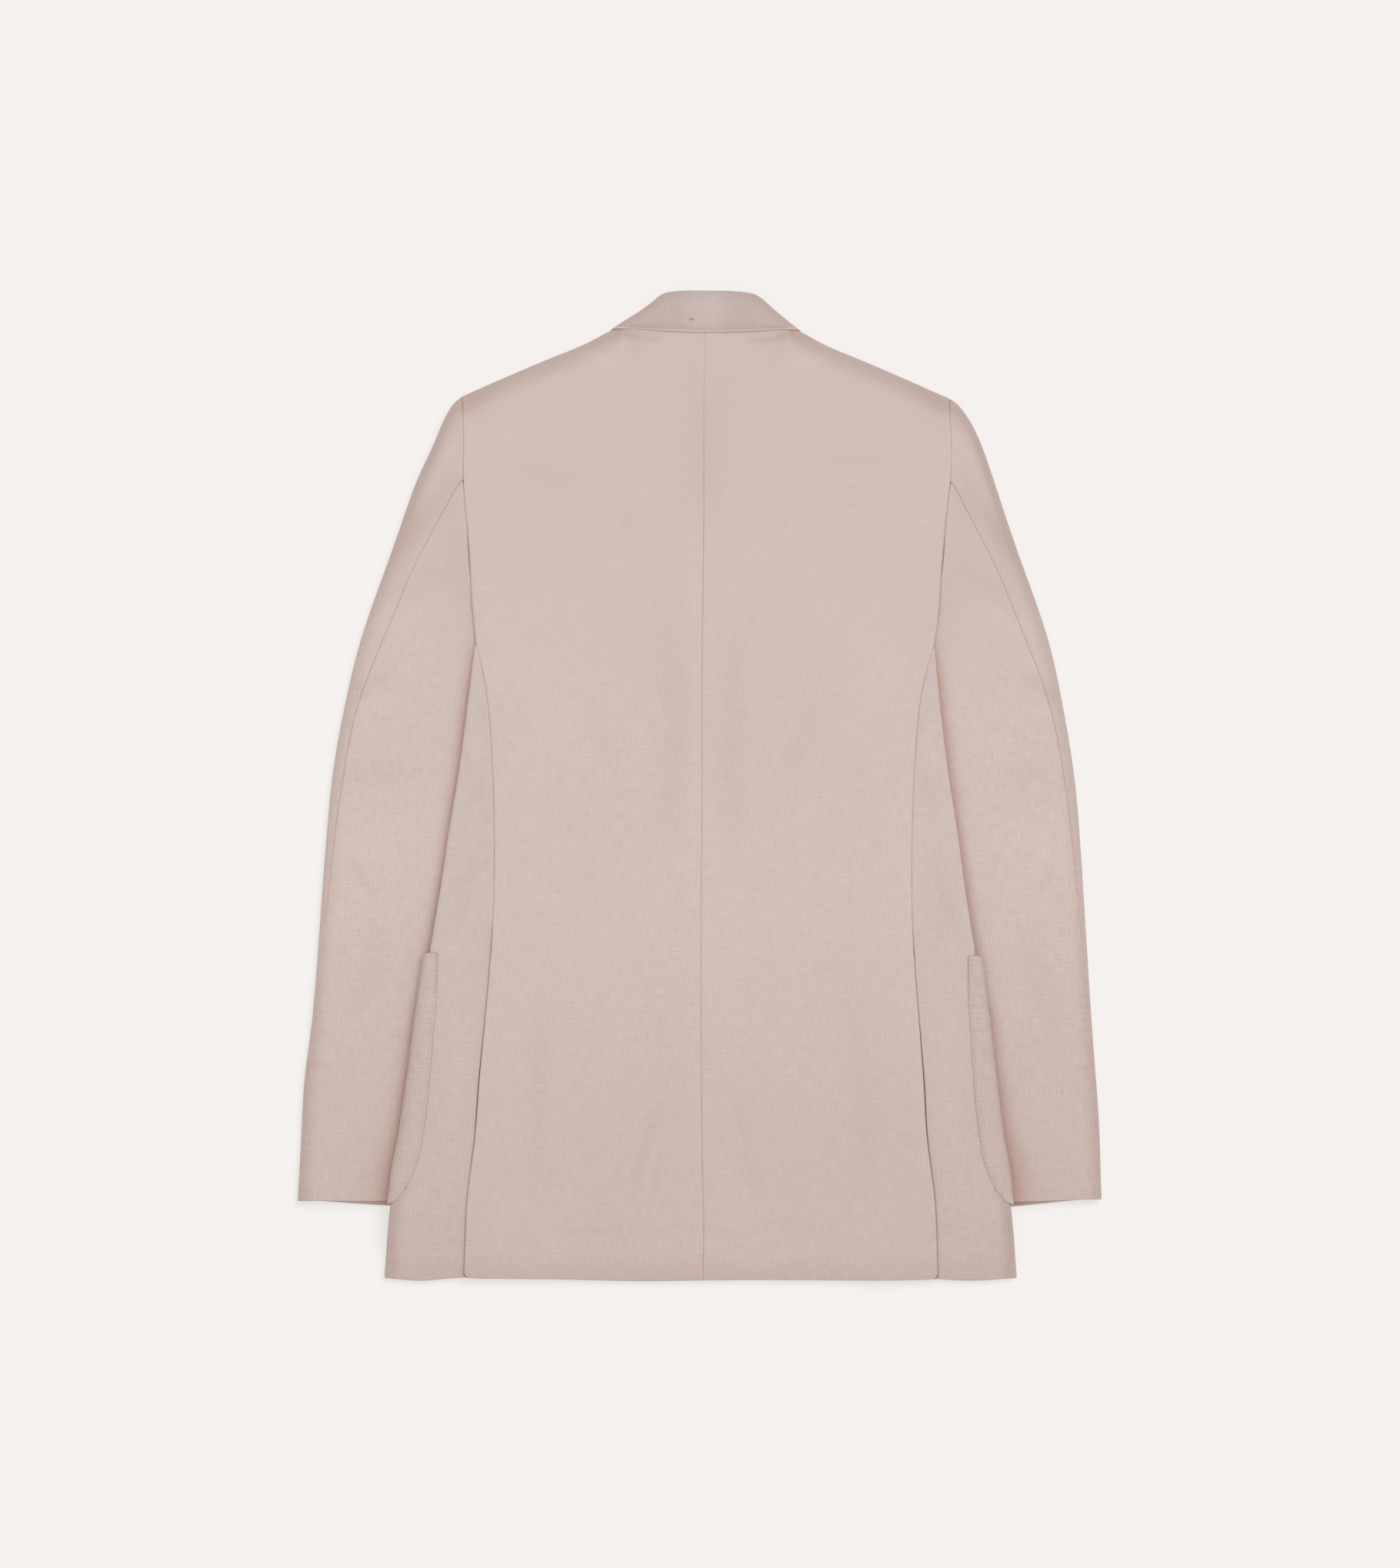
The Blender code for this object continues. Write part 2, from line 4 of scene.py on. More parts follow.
import bmesh
import bpy
import numpy as np
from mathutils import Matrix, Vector


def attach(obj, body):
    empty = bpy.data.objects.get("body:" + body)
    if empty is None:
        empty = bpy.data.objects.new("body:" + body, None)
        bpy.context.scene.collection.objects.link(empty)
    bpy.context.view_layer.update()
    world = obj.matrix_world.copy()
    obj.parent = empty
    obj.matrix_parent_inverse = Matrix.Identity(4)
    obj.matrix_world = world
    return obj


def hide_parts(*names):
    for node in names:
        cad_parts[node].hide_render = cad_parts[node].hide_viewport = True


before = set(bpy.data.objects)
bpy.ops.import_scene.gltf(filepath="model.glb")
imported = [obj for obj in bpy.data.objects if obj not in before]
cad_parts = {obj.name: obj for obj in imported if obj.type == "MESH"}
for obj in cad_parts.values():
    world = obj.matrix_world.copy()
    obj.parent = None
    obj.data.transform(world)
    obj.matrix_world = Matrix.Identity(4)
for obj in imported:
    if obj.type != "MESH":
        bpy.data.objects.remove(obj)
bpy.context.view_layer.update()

mm = 0.001
fine = 1.0  # grids are this many times coarser while trying

clothValues = {
    "single": 1.5,      # one layer of cloth with its backing, in mm
    "double": 2.4,      # collar fall, lapels and pockets
    "gap": 0.3,         # between layers
    "sewn": 0.2,        # between the two edges of a sewn seam
    "gridStep": 3.2,    # the size of a grid square on what shows
    "hiddenStep": 7.0,  # and on what lies below
}
single, double, gap, sewn = (clothValues[name] for name in ("single", "double", "gap", "sewn"))

# heights of the walls' middles above the table, in mm
heights = {
    "sleeveLow": 0.75, "sleeveTop": 5.6, "front": 3.45, "overSleeve": 7.6, "overPocket": 10.1,
    "sideDepth": 4.9, "back": 8.6, "backHem": 4.6, "shoulder": 6.0, "stand": 8.7,
}
foldReach, easeReach = 3.2, 18.0
hem, underarm, breakPoint, overlap = -382.0, 108.0, -45.0, 75.0
ventTop, ventWidth = -122.5, 38.0
shoulderTip, armholeFoot, gorge = 188.4, 85.0, 262.0


def table(names, rows):
    return dict(zip(names.split(), np.array(rows, dtype=float).T))


bodyTable = table("y fold backSeam frontSeam", (
    (-382, 244.1, 183.0, 194.0), (-351, 241.5, 181.8, 192.0), (-322, 238.4, 180.4, 188.0),
    (-268, 228.5, 174.2, 183.0), (-226, 222.7, 171.2, 177.0), (-190, 218.2, 167.9, 172.0),
    (-129, 209.8, 162.9, 164.0), (-83, 202.4, 161.2, 157.5), (-39, 196.3, 161.2, 150.5),
    (12, 188.2, 162.8, 143.0), (73, 180.6, 168.2, 128.5), (108, 176.6, 175.6, 121.0)))
sleeveTable = table("i outerX outerY innerX innerY fan backSeam", (
    (0, 188.4, 299.4, 125.0, 85.0, 1.00, 64.0), (1, 196.4, 292.4, 124.7, 84.0, 0.92, 63.6),
    (2, 207.3, 274.6, 124.0, 82.0, 0.80, 58.9), (3, 221.3, 238.8, 123.0, 79.0, 0.58, 42.6),
    (4, 239.8, 184.8, 121.5, 74.0, 0.28, 24.2), (5, 264.3, 113.8, 120.0, 69.0, 0.00, 15.5),
    (6, 277.3, 59.8, 130.0, 28.0, 0.00, 9.0), (7, 286.3, 7.0, 139.0, -14.0, 0.00, 7.5),
    (8, 291.3, -47.0, 146.5, -60.0, 0.00, 5.5), (9, 296.3, -119.0, 156.0, -128.0, 0.00, 3.0),
    (10, 301.3, -190.0, 165.4, -199.0, 0.00, 2.0), (11, 307.3, -262.0, 175.0, -270.0, 0.00, 2.0),
    (12, 310.3, -319.5, 181.0, -323.5, 0.00, 2.0)))
rollTable = table("y x", ((-45, -75), (110, -28), (205, 1), (300, 29.5)))
lapelTable = table("y x", (
    (-45, -66), (0, -33), (50, 5), (110, 48), (170, 80), (230, 103), (262, 112)))
lapelTop = table("share x y", ((0, 29.0, 299.0), (0.6, 77.5, 261.5), (1.0, 121.0, 284.0)))
armholeUpper = table("x y", (
    (188.4, 299.4), (187.4, 234), (183.8, 189), (181.3, 151), (177.4, 117), (177.0, 108),
    (152, 97), (125, 85)))
armholeLower = table("x y", ((188.4, 299.4), (172, 250), (155, 190), (137, 125), (125, 85)))
backArmhole = table("y x", (
    (108, 175.8), (117, 176.6), (151, 180.4), (189, 182.9), (234, 186.6), (300, 187.8)))
frontArmhole = table("y x", ((85, 124.2), (125, 136), (190, 154), (250, 171), (300, 187.4)))
topTable = table("x y", (
    (0, 355), (30, 356), (50, 356), (60, 354.6), (67, 352.4), (73, 350.6), (77, 348.6),
    (84, 344.6), (126, 326.3), (166, 309.2), (188.4, 299.4)))
neckTable = table("y x", ((262, 18.0), (300, 29.5), (325, 42.0), (351, 66.0)))
pocketRear = table("y x", (
    (-307, 225.5), (-292, 219.6), (-260, 213.8), (-225, 210.2), (-190, 207.4),
    (-165, 205.3), (-131, 203.9)))
pocketFoot = table("share y", (
    (0, -307), (0.05, -318), (0.12, -329), (0.25, -335), (0.8, -335), (0.93, -330), (1, -312)))
collarTable = table("i rollX rollY edgeX edgeY z", (
    (0, 0.0, 381.2, 0.0, 350.4, 11.9), (1, 18.0, 381.0, 20.0, 350.8, 11.9),
    (2, 34.5, 379.4, 38.0, 351.6, 11.9), (3, 42.0, 376.0, 53.0, 352.8, 11.6),
    (4, 46.6, 372.2, 65.0, 352.8, 9.8), (5, 48.2, 370.9, 70.8, 352.2, 6.4),
    (6, 47.4, 369.2, 73.0, 351.0, 3.2), (7, 45.0, 364.0, 76.5, 345.4, 1.2),
    (8, 40.0, 342.0, 86.0, 321.0, 1.2), (9, 34.5, 319.0, 91.0, 291.0, 1.2),
    (10, 30.0, 301.0, 78.0, 263.0, 1.2)))
collarEnds = table("y x", ((351, 73), (371, 48.2), (376, 43), (381, 20)))
standTable = table("i x foot head", (
    (0, 0, 355.4, 379.6), (1, 18, 356.2, 379.4), (2, 32, 356.6, 376.5), (3, 42, 356.7, 370.0),
    (4, 50, 356.4, 363.0)))
# where the hand that laid it out moved the cloth a little: at x, y, as far as reach
handTable = table("x y reach moveX moveY", (
    (-48, 377, 22, 6.2, 0), (-208, 266, 26, 1.8, -2.6), (262, 130, 60, 1.2, 0),
    (-312, -228, 38, -2.2, 0), (-300, -322, 60, -1.4, -2.6), (-312, -325, 14, 0, -1.2),
    (300, -325, 60, -1.3, 1.2), (222, -384, 50, 0, 2.6), (-50, -384, 55, 0, -1.4),
    (-196, -384, 14, 0, 1.2), (0, 300, 90, -1.4, 0), (0, 90, 110, -1.7, 0), (0, -120, 110, -1.4, 0),
    (184, 252, 34, 2.4, 0), (0, -350, 60, 2.0, 0), (182, 184, 38, 1.7, 0), (176, 128, 28, 1.3, 0),
    (172, -260, 60, -1.0, 0)))


def read(source, key, column, value):
    # a smooth curve through the table's rows
    keys, values = source[key], source[column]
    slopes = np.gradient(values, keys)
    value = np.asarray(value, dtype=float)
    i = np.clip(np.searchsorted(keys, value) - 1, 0, len(keys) - 2)
    width = keys[i + 1] - keys[i]
    t = np.clip((value - keys[i]) / width, 0, 1)
    start = (1 + 2 * t) * (1 - t) ** 2 * values[i] + t * (1 - t) ** 2 * width * slopes[i]
    end = t * t * (3 - 2 * t) * values[i + 1] + t * t * (t - 1) * width * slopes[i + 1]
    return start + end


def body(column, y):
    return read(bodyTable, "y", column, np.clip(y, hem, underarm))


def ease(value, start, end):
    t = np.clip((np.asarray(value, dtype=float) - start) / (end - start), 0, 1)
    return t * t * (3 - 2 * t)


def mix(a, b, share):
    return a + (b - a) * share


def bell(distance, reach):
    # 1 at no distance, fading softly
    return np.exp(-(distance / reach) ** 2)


def arc(distance, reach):
    t = np.clip(np.asarray(distance, dtype=float) / reach, 0, 1)
    return np.sqrt(np.maximum(1 - (1 - t) ** 2, 0))


def softArc(distance):
    return 0.72 * arc(distance, foldReach) + 0.28 * ease(distance, 0, easeReach)


def sleeveInner(y):
    back = slice(None, None, -1)
    return np.interp(y, sleeveTable["innerY"][5:][back], sleeveTable["innerX"][5:][back])


def hemDrop(y):
    return ease(y, -340, -366)


def sideLevel(y):
    return mix(heights["overSleeve"], heights["overPocket"], ease(y, -50, -100))


def lowerZ(x, y):
    # the body's lower wall climbs over the sleeve's inner fold
    top = armholeFoot + np.maximum(x - 125, 0) * 0.44
    inner = sleeveInner(y)
    climb = ease(x, inner - 28, inner - 6) * ease(y - top, 34, 3) * (1 - hemDrop(y))
    return mix(mix(heights["front"], single / 2, hemDrop(y)), sideLevel(y), climb)


def upperFlat(x, y):
    chest = (1 - ease(x, 110, 150)) * ease(y, -110, -60) * (1 - ease(y, 250, 320))
    side = sideLevel(y) + mix(single + gap, heights["sideDepth"], ease(y, underarm, 60))
    inner = sleeveInner(y)
    raised = ease(x - inner, -60, 12) * ease(y, 185, 115)
    flat = mix(heights["back"] + 1.2 * chest, side, raised)
    return mix(flat, heights["backHem"], ease(y, -325, hem))


def foldMiddle(y):
    edge = body("fold", y)
    return (lowerZ(edge, y) + upperFlat(edge, y)) / 2


def shoulderDistance(x, y):
    line = read(topTable, "x", "y", np.minimum(x, shoulderTip))
    return (line - y) * 0.92 + 30 * (1 - ease(x, 60, 70))


def upperZ(x, y):
    beyond = np.maximum(y - underarm, 0) * 2.5
    z = mix(foldMiddle(np.minimum(y, underarm)), upperFlat(x, y), softArc(body("fold", y) + beyond - x))
    return mix(heights["shoulder"] + 0.55, z, softArc(shoulderDistance(x, y)))


def frontZ(x, y):
    return mix(heights["shoulder"] - 0.55, lowerZ(x, y), arc(shoulderDistance(x, y), foldReach))


def laid(points):
    # the blazer was laid by hand, so its two halves aren't quite alike
    moved = points.copy()
    for x, y, reach, moveX, moveY in zip(*handTable.values()):
        near = np.exp(-((points[..., 0] - x) ** 2 + (points[..., 1] - y) ** 2) / reach ** 2)
        moved[..., 0] += moveX * near
        moved[..., 1] += moveY * near
    return moved


# creases: soft troughs and ridges, in mm on the laid-out blazer
creaseStrength = 1.5
creaseColumns = "x0 y0 x1 y1 width depth"
backCreases = table(creaseColumns, (
    (70, 350.5, 34, 344, 3.2, -0.75), (-70, 351, -34, 345, 3.0, -0.75), (62, 345, 50, 328, 6, -0.3),
    (-60, 345, -49, 331, 5, -0.3), (96, 334, 60, 326, 5, 0.3), (-98, 333, -64, 327, 5, 0.25),
    (-11, 322, -9, 210, 13, -0.24), (13, 318, 11, 206, 13, -0.24), (-9, 214, -8, -40, 4.5, 0.24),
    (26, 110, 25, -46, 10, -0.24), (-27, 114, -26, -44, 10, -0.26), (-60, 209, -60, 199, 4, -0.24),
    (62, 208, 61, 200, 4, -0.2),
    (-142, 243, -98, 237, 4, -0.16), (96, 252, 138, 248, 4, -0.16), (-150, 122, -96, 12, 14, 0.14),
    (148, 118, 100, 22, 14, 0.14), (-86, 64, -68, 10, 7, -0.14), (84, 60, 66, 14, 7, -0.14),
    (-31, -250, -52, -317, 3.6, -0.26), (-33, -282, -42, -320, 3.0, -0.22), (29, -252, 48, -316, 3.6, -0.24),
    (33, -284, 40, -319, 3.0, -0.22), (-26, -262, -44, -318, 2.8, 0.2), (24, -264, 42, -317, 2.8, 0.2),
    (-122, -170, -127, -312, 9, -0.16), (118, -176, 126, -318, 10, -0.16),
    (-98, -344, -52, -337, 2.4, -0.22), (-50, -347, -8, -342, 2.0, -0.20), (6, -342, 48, -347, 2.2, -0.20),
    (50, -338, 94, -344, 2.4, -0.20), (-80, -351, -24, -353, 2.0, 0.16), (22, -353, 76, -350, 2.0, 0.16)))
sleeveCreases = table(creaseColumns, (
    (188, 238, 234, 176, 8, -0.34), (198, 262, 224, 214, 6, 0.30), (199, 166, 238, 132, 11, -0.24),
    (210, 140, 256, 122, 8, 0.24), (244, 84, 272, 66, 7, -0.34), (238, 66, 266, 58, 6, 0.26),
    (228, 12, 276, 2, 10, -0.22), (232, -34, 280, -50, 10, 0.22), (272, -58, 256, -84, 4, -0.32),
    (252, -106, 270, -176, 13, -0.22), (304, -209, 288, -213, 3, 0.32), (303, -217, 286, -219, 2.6, -0.34),
    (252, -234, 284, -280, 12, 0.2), (246, -280, 262, -316, 9, -0.22)))
sideCreases = table(creaseColumns, (
    (174, 96, 168, 44, 3.6, -0.28), (178, 90, 178, 30, 4, 0.24), (170, 40, 190, -30, 6, 0.22),
    (168, 10, 184, -18, 4, -0.20), (174, -60, 192, -110, 7, -0.20), (190, -180, 196, -290, 8, 0.2)))


def creased(creases, x, y):
    # how far the creases lift the cloth at x, y: each one bows a little and fades at its ends
    lift = np.zeros(np.broadcast(x, y).shape)
    for i, (x0, y0, x1, y1, width, depth) in enumerate(zip(*creases.values())):
        ax, ay = x1 - x0, y1 - y0
        length = math.hypot(ax, ay)
        along = ((x - x0) * ax + (y - y0) * ay) / (ax * ax + ay * ay)
        bow = 0.06 * min(length, 60) * np.sin(np.pi * np.clip(along, 0, 1)) * (-1) ** i
        off = ((x - x0) * ay - (y - y0) * ax) / length + bow
        ends = ease(along, -0.25, 0.25) * (1 - ease(along, 0.7, 1.25))
        lift += creaseStrength * depth * ends * bell(off, width)
    return lift


def seamShade(distance):
    # painted shade: the warm, dark line where two edges meet, sewn or pressed together
    return 0.75 * (1 - ease(distance, 0.1, 0.75))


def creaseShade(lift):
    # painted shade in the troughs and a painted highlight on the ridges
    return np.clip(0.12 - np.where(lift > 0, 0.24, 0.42) * lift, 0, 1)


def ripple(x, y, size, seed):
    # very broad unevenness, the same each time
    a = np.sin(x / size + 1.7 * seed + 1.3 * np.sin(y / (1.7 * size) + seed))
    b = np.sin(y / (1.3 * size) - 0.9 * seed + 1.1 * np.sin(x / (1.4 * size) + 2.1 * seed))
    return a * b


def seamDip(distance, along, depth, seed):
    # the two edges of a sewn seam turn down, with a faint pucker and the pressed allowance
    pucker = 1 + 0.35 * np.sin(along / 5.3 + seed) * np.sin(along / 13.7 + 2 * seed)
    return -depth * pucker * bell(distance, 0.7) + 0.14 * (1 - ease(distance, 7.5, 11.5))


def edgeRoll(distance, depth, reach=1.6):
    # a folded or cut edge turns down
    return -depth * (1 - arc(distance, reach))


def pressed(distance, least=0.5, reach=3.0):
    # the share of its thickness that cloth keeps towards a folded edge
    return least + (1 - least) * arc(distance, reach)


def marks(length, step, close=(0.3, 0.8, 1.6, 2.8)):
    # shares along a length, closer together beside both ends
    step = step * fine
    close = [c for c in close if c < length / 3]
    inner = np.linspace(close[-1], length - close[-1], max(3, int((length - 2 * close[-1]) / step) + 1))
    return np.concatenate(([0], close[:-1], inner, [length - c for c in close[:-1]][::-1], [length])) / length


def linked(name, data):
    thing = bpy.data.objects.new(name, data)
    bpy.context.scene.collection.objects.link(thing)
    return thing


def newMaterial(name):
    material = bpy.data.materials.new(name)
    material.use_nodes = True
    return material, material.node_tree, material.node_tree.nodes["Principled BSDF"]


def newGroup(name, inputs, outputs):
    group = bpy.data.node_groups.new(name, "ShaderNodeTree")
    for way, sockets in (("INPUT", inputs), ("OUTPUT", outputs)):
        for socketName, kind in sockets:
            group.interface.new_socket(socketName, in_out=way, socket_type="NodeSocket" + kind)
    return group, group.nodes.new("NodeGroupInput"), group.nodes.new("NodeGroupOutput")


def mathNode(tree, operation, first, second=None, clamp=False):
    node = tree.nodes.new("ShaderNodeMath")
    node.operation = operation
    node.use_clamp = clamp
    for socket, value in zip(node.inputs, (first, second)):
        if value is None:
            continue
        if isinstance(value, (int, float)):
            socket.default_value = value
        else:
            tree.links.new(value, socket)
    return node.outputs[0]


def noiseNode(tree, vector, scale, detail, roughness):
    node = tree.nodes.new("ShaderNodeTexNoise")
    node.inputs["Scale"].default_value = scale
    node.inputs["Detail"].default_value = detail
    node.inputs["Roughness"].default_value = roughness
    tree.links.new(vector, node.inputs["Vector"])
    return node.outputs["Fac"]


def stretched(tree, vector, across, along):
    node = tree.nodes.new("ShaderNodeMapping")
    node.inputs["Scale"].default_value = (across, along, 1.0)
    tree.links.new(vector, node.inputs["Vector"])
    return node.outputs["Vector"]


def rangeNode(tree, value, start, end):
    # 0 below start and 1 above end
    node = tree.nodes.new("ShaderNodeMapRange")
    node.interpolation_type = "SMOOTHSTEP"
    tree.links.new(value, node.inputs["Value"])
    node.inputs["From Min"].default_value = start
    node.inputs["From Max"].default_value = end
    return node.outputs["Result"]


def rampNode(tree, value, first, last, places=(0.0, 1.0)):
    node = tree.nodes.new("ShaderNodeValToRGB")
    for element, colour, place in zip(node.color_ramp.elements, (first, last), places):
        element.position = place
        element.color = list(colour) + [1]
    tree.links.new(value, node.inputs["Fac"])
    return node.outputs["Color"]


def attributeNode(tree, name):
    node = tree.nodes.new("ShaderNodeAttribute")
    node.attribute_name = name
    return node.outputs["Fac"]


threadPitch = 0.00062  # metres from thread to thread


def weaveGroup():
    # plain weave on the cloth's own map: u runs across the grain and v along it, in metres
    inputs = (("Vector", "Vector"), ("Thread", "Float"), ("Slub", "Float"), ("Cloud", "Float"))
    group, given, result = newGroup("linenWeave", inputs, (("Tone", "Float"), ("Height", "Float")))
    vector = given.outputs["Vector"]

    def add(first, second, clamp=False):
        return mathNode(group, "ADD", first, second, clamp)

    def times(first, second):
        return mathNode(group, "MULTIPLY", first, second)

    def centred(value):
        return mathNode(group, "SUBTRACT", value, 0.5)

    def noise(across, along, detail, roughness):
        return noiseNode(group, stretched(group, vector, across, along), 1.0, detail, roughness)

    parts = group.nodes.new("ShaderNodeSeparateXYZ")
    group.links.new(vector, parts.inputs[0])
    turn = 2 * math.pi / threadPitch
    warpWave, weftWave = (mathNode(group, "SINE", times(parts.outputs[axis], turn)) for axis in "XY")
    threads = add(centred(noise(1150, 75, 2.0, 0.5)), centred(noise(85, 1150, 2.0, 0.5)))
    threads = add(threads, times(centred(noise(1500, 1500, 1.0, 0.5)), 0.6))
    slubLine = rangeNode(group, noise(75, 1700, 0.0, 0.4), 0.68, 0.77)
    slub = times(slubLine, rangeNode(group, noise(30, 90, 1.0, 0.5), 0.54, 0.64))
    cloud = centred(noise(9, 6, 3.0, 0.55))
    tone = add(times(threads, given.outputs["Thread"]), times(slub, given.outputs["Slub"]))
    tone = add(tone, times(cloud, given.outputs["Cloud"]))
    group.links.new(add(tone, 0.5, clamp=True), result.inputs["Tone"])
    rough = add(times(times(warpWave, weftWave), 0.35), threads)
    group.links.new(add(rough, times(slub, 0.8)), result.inputs["Height"])
    return group


linenWeave = weaveGroup()


def linen(name, colour, values):
    material, tree, shader = newMaterial(name)
    weave = tree.nodes.new("ShaderNodeGroup")
    weave.node_tree = linenWeave
    for socket in ("Slub", "Cloud"):
        weave.inputs[socket].default_value = values[socket.lower()]
    crisp = attributeNode(tree, "crisp")
    tree.links.new(mathNode(tree, "MULTIPLY", crisp, values["thread"]), weave.inputs["Thread"])
    grain = tree.nodes.new("ShaderNodeUVMap")
    grain.uv_map = "grain"
    tree.links.new(grain.outputs["UV"], weave.inputs["Vector"])
    shown = rampNode(tree, weave.outputs["Tone"], [c * values["dark"] for c in colour],
                     [min(c * values["light"], 1) for c in colour])
    # the colour is darkened towards two tones of painted shade, by the shares each piece gives
    for label in ("deep", "blush"):
        deepen = tree.nodes.new("ShaderNodeMix")
        deepen.data_type = "RGBA"
        deepen.blend_type = "MULTIPLY"
        deepen.inputs["B"].default_value = values[label]
        tree.links.new(attributeNode(tree, label), deepen.inputs["Factor"])
        tree.links.new(shown, deepen.inputs["A"])
        shown = deepen.outputs["Result"]
    tree.links.new(shown, shader.inputs["Base Color"])
    bump = tree.nodes.new("ShaderNodeBump")
    bump.inputs["Strength"].default_value = values["bump"]
    bump.inputs["Distance"].default_value = values["bumpHeight"]
    tree.links.new(weave.outputs["Height"], bump.inputs["Height"])
    tree.links.new(bump.outputs["Normal"], shader.inputs["Normal"])
    shader.inputs["Roughness"].default_value = values["rough"]
    shader.inputs["Specular IOR Level"].default_value = 0.25
    shader.inputs["Sheen Weight"].default_value = values["sheen"]
    shader.inputs["Sheen Roughness"].default_value = 0.6
    return material


linenValues = {
    "cloud": 0.24, "dark": 0.86, "light": 1.14, "bump": 0.35, "bumpHeight": 0.0003, "rough": 0.9,
    "sheen": 0.08,
    "deep": (0.80, 0.735, 0.725, 1),    # the tone of painted shade in folds, troughs and gaps and along edges
    "blush": (0.84, 0.64, 0.555, 1),    # and the warm painted shade where layers of cloth face each other or one edge lies over another
}
# the colour of each finish, and how strongly its threads and slubs show; all are one linen, so the small
# differences in colour are painted shade and light, and inner, the darkest, is painted shade seen through the
# vents
linenFinishes = {
    "back": ((0.662, 0.549, 0.504), 0.45, 0.5),
    "side": ((0.640, 0.533, 0.489), 0.52, 0.6),
    "sleeve": ((0.666, 0.553, 0.508), 0.58, 0.6),
    "pocket": ((0.620, 0.507, 0.465), 0.6, 0.5),
    "collar": ((0.645, 0.550, 0.503), 1.4, 0.2),
    "inner": ((0.56, 0.455, 0.415), 0.6, 0.4),
    "front": ((0.630, 0.518, 0.474), 0.6, 0.5),
}
finishes = {}
for name, (colour, thread, slub) in linenFinishes.items():
    finishes[name] = linen("linen_" + name, colour, dict(linenValues, thread=thread, slub=slub))


def clothPiece(name, points, grain, thickness, finish, nodes, flat, area=None, restsOn=(), slot="linen",
               kept=None, deep=0.0, blush=0.0):
    # points and grain are rows x columns arrays, in mm; kept is the share of the thickness at each,
    # and the last two are how far the colour goes towards the two tones of painted shade
    rows, columns = points.shape[:2]
    points = laid(points)
    mesh = bpy.data.meshes.new(name)
    index = np.arange(rows * columns).reshape(rows, columns)
    quads = np.stack((index[:-1, :-1], index[:-1, 1:], index[1:, 1:], index[1:, :-1]), axis=-1).reshape(-1, 4)
    flip = points[rows // 2, columns // 2 + 1, 0] < points[rows // 2, columns // 2, 0]
    if flip:
        quads = quads[:, ::-1]
    mesh.from_pydata((points.reshape(-1, 3) * mm).tolist(), [], quads.tolist())
    layer = mesh.uv_layers.new(name="grain")
    corner = np.array([loop.vertex_index for loop in mesh.loops])
    layer.data.foreach_set("uv", (grain.reshape(-1, 2)[corner] * mm).astype(np.float32).ravel())
    crisp = mix(1.7, 0.6, ease(points[..., 1], 0, 220))  # the threads stand out more towards the skirt
    for label, share in (("deep", deep), ("blush", blush), ("crisp", crisp)):
        tone = mesh.attributes.new(label, "FLOAT", "POINT")
        tone.data.foreach_set("value", np.broadcast_to(share, (rows, columns)).astype(np.float32).ravel())
    mesh.shade_smooth()
    mesh.materials.append(finish)
    piece = linked(name, mesh)
    wall = piece.modifiers.new("wall", "SOLIDIFY")
    wall.thickness = thickness * mm
    wall.offset = 0.0
    wall.use_quality_normals = True
    wall.use_rim = True
    if kept is not None:
        group = piece.vertex_groups.new(name="kept")
        for vertex, share in enumerate(np.broadcast_to(kept, (rows, columns)).ravel()):
            group.add([vertex], float(share), "REPLACE")
        wall.vertex_group = "kept"
    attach(piece, "root")
    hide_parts(*nodes)
    return piece


def hand(side, word):
    return word + ("_right" if side > 0 else "_left")


def handName(side, word):
    # patch_pocket gives patchPocketRight or patchPocketLeft
    first, *rest = hand(side, word).split("_")
    return first + "".join(part.capitalize() for part in rest)


def handedCloth(side, word, place, grain, thickness, finish, values, below, slot="linen", **looks):
    # place and grain are the right-hand piece's, and the left-hand one mirrors them
    x, y, z = np.broadcast_arrays(*place)
    across, along = np.broadcast_arrays(*grain)
    points = np.stack((side * x, y, z), axis=-1)
    grain = np.stack((side * across, along), axis=-1)
    clothPiece(handName(side, word), points, grain, thickness, finishes[finish], [hand(side, word)],
               values["flat"], values["area"], [hand(side, node) for node in below], slot, **looks)


def lowShade(y):
    # painted shade: the cloth is a little darker down the skirt and at the hem
    return 0.27 * (1 - ease(y, -330, -70)) + 0.3 * (1 - ease(y - hem, 1, 24))


print("weave and finishes ready")


backValues = {
    "flat": (0.205, 0.742), "area": 0.1335, "halfWidth": 187.6, "length": 737.0, "rippleDepth": 0.35,
    "fanStart": 200.0, "fanRise": 155.0,    # above fanStart its rows turn towards the shoulder line
    "cornerRound": 5.0, "centreGap": 0.26,
}


def backEdge(y):
    lap = mix(-sewn / 2 - 0.05, 0.1, ease(y, -126, -136))
    lower = body("backSeam", y) + lap
    sleeveSide = read(backArmhole, "y", "x", y) + 0.3 + 0.3 * bell(y - 180, 26)
    return np.where(y > underarm, sleeveSide, lower + 0.8 * ease(y, 90, underarm))


def ventLift(x, y):
    inward = body("backSeam", y) - x
    return (single + gap) * ease(y, -100, ventTop) * (1 - ease(inward, ventWidth + 4, 85))


def shoulderShade(x, y):
    # painted shade along the rounded shoulder line, at the shoulder tip and just below the collar
    tip = np.exp(-((x - 182) ** 2 + (y - 297) ** 2) / 17.0 ** 2)
    belowCollar = (1 - ease(352 - y, 0, 12)) * ease(x, 44, 66)
    return 0.85 * (1 - ease(shoulderDistance(x, y), 0, 19)) + 0.3 * tip + 0.35 * belowCollar


def armholeTuckShade(inward, y):
    # painted shade where the sleeve tucks deepest under the back, a little above the underarm
    return bell(y - 174, 27) * (1 - ease(inward, 0.6, 1.9))


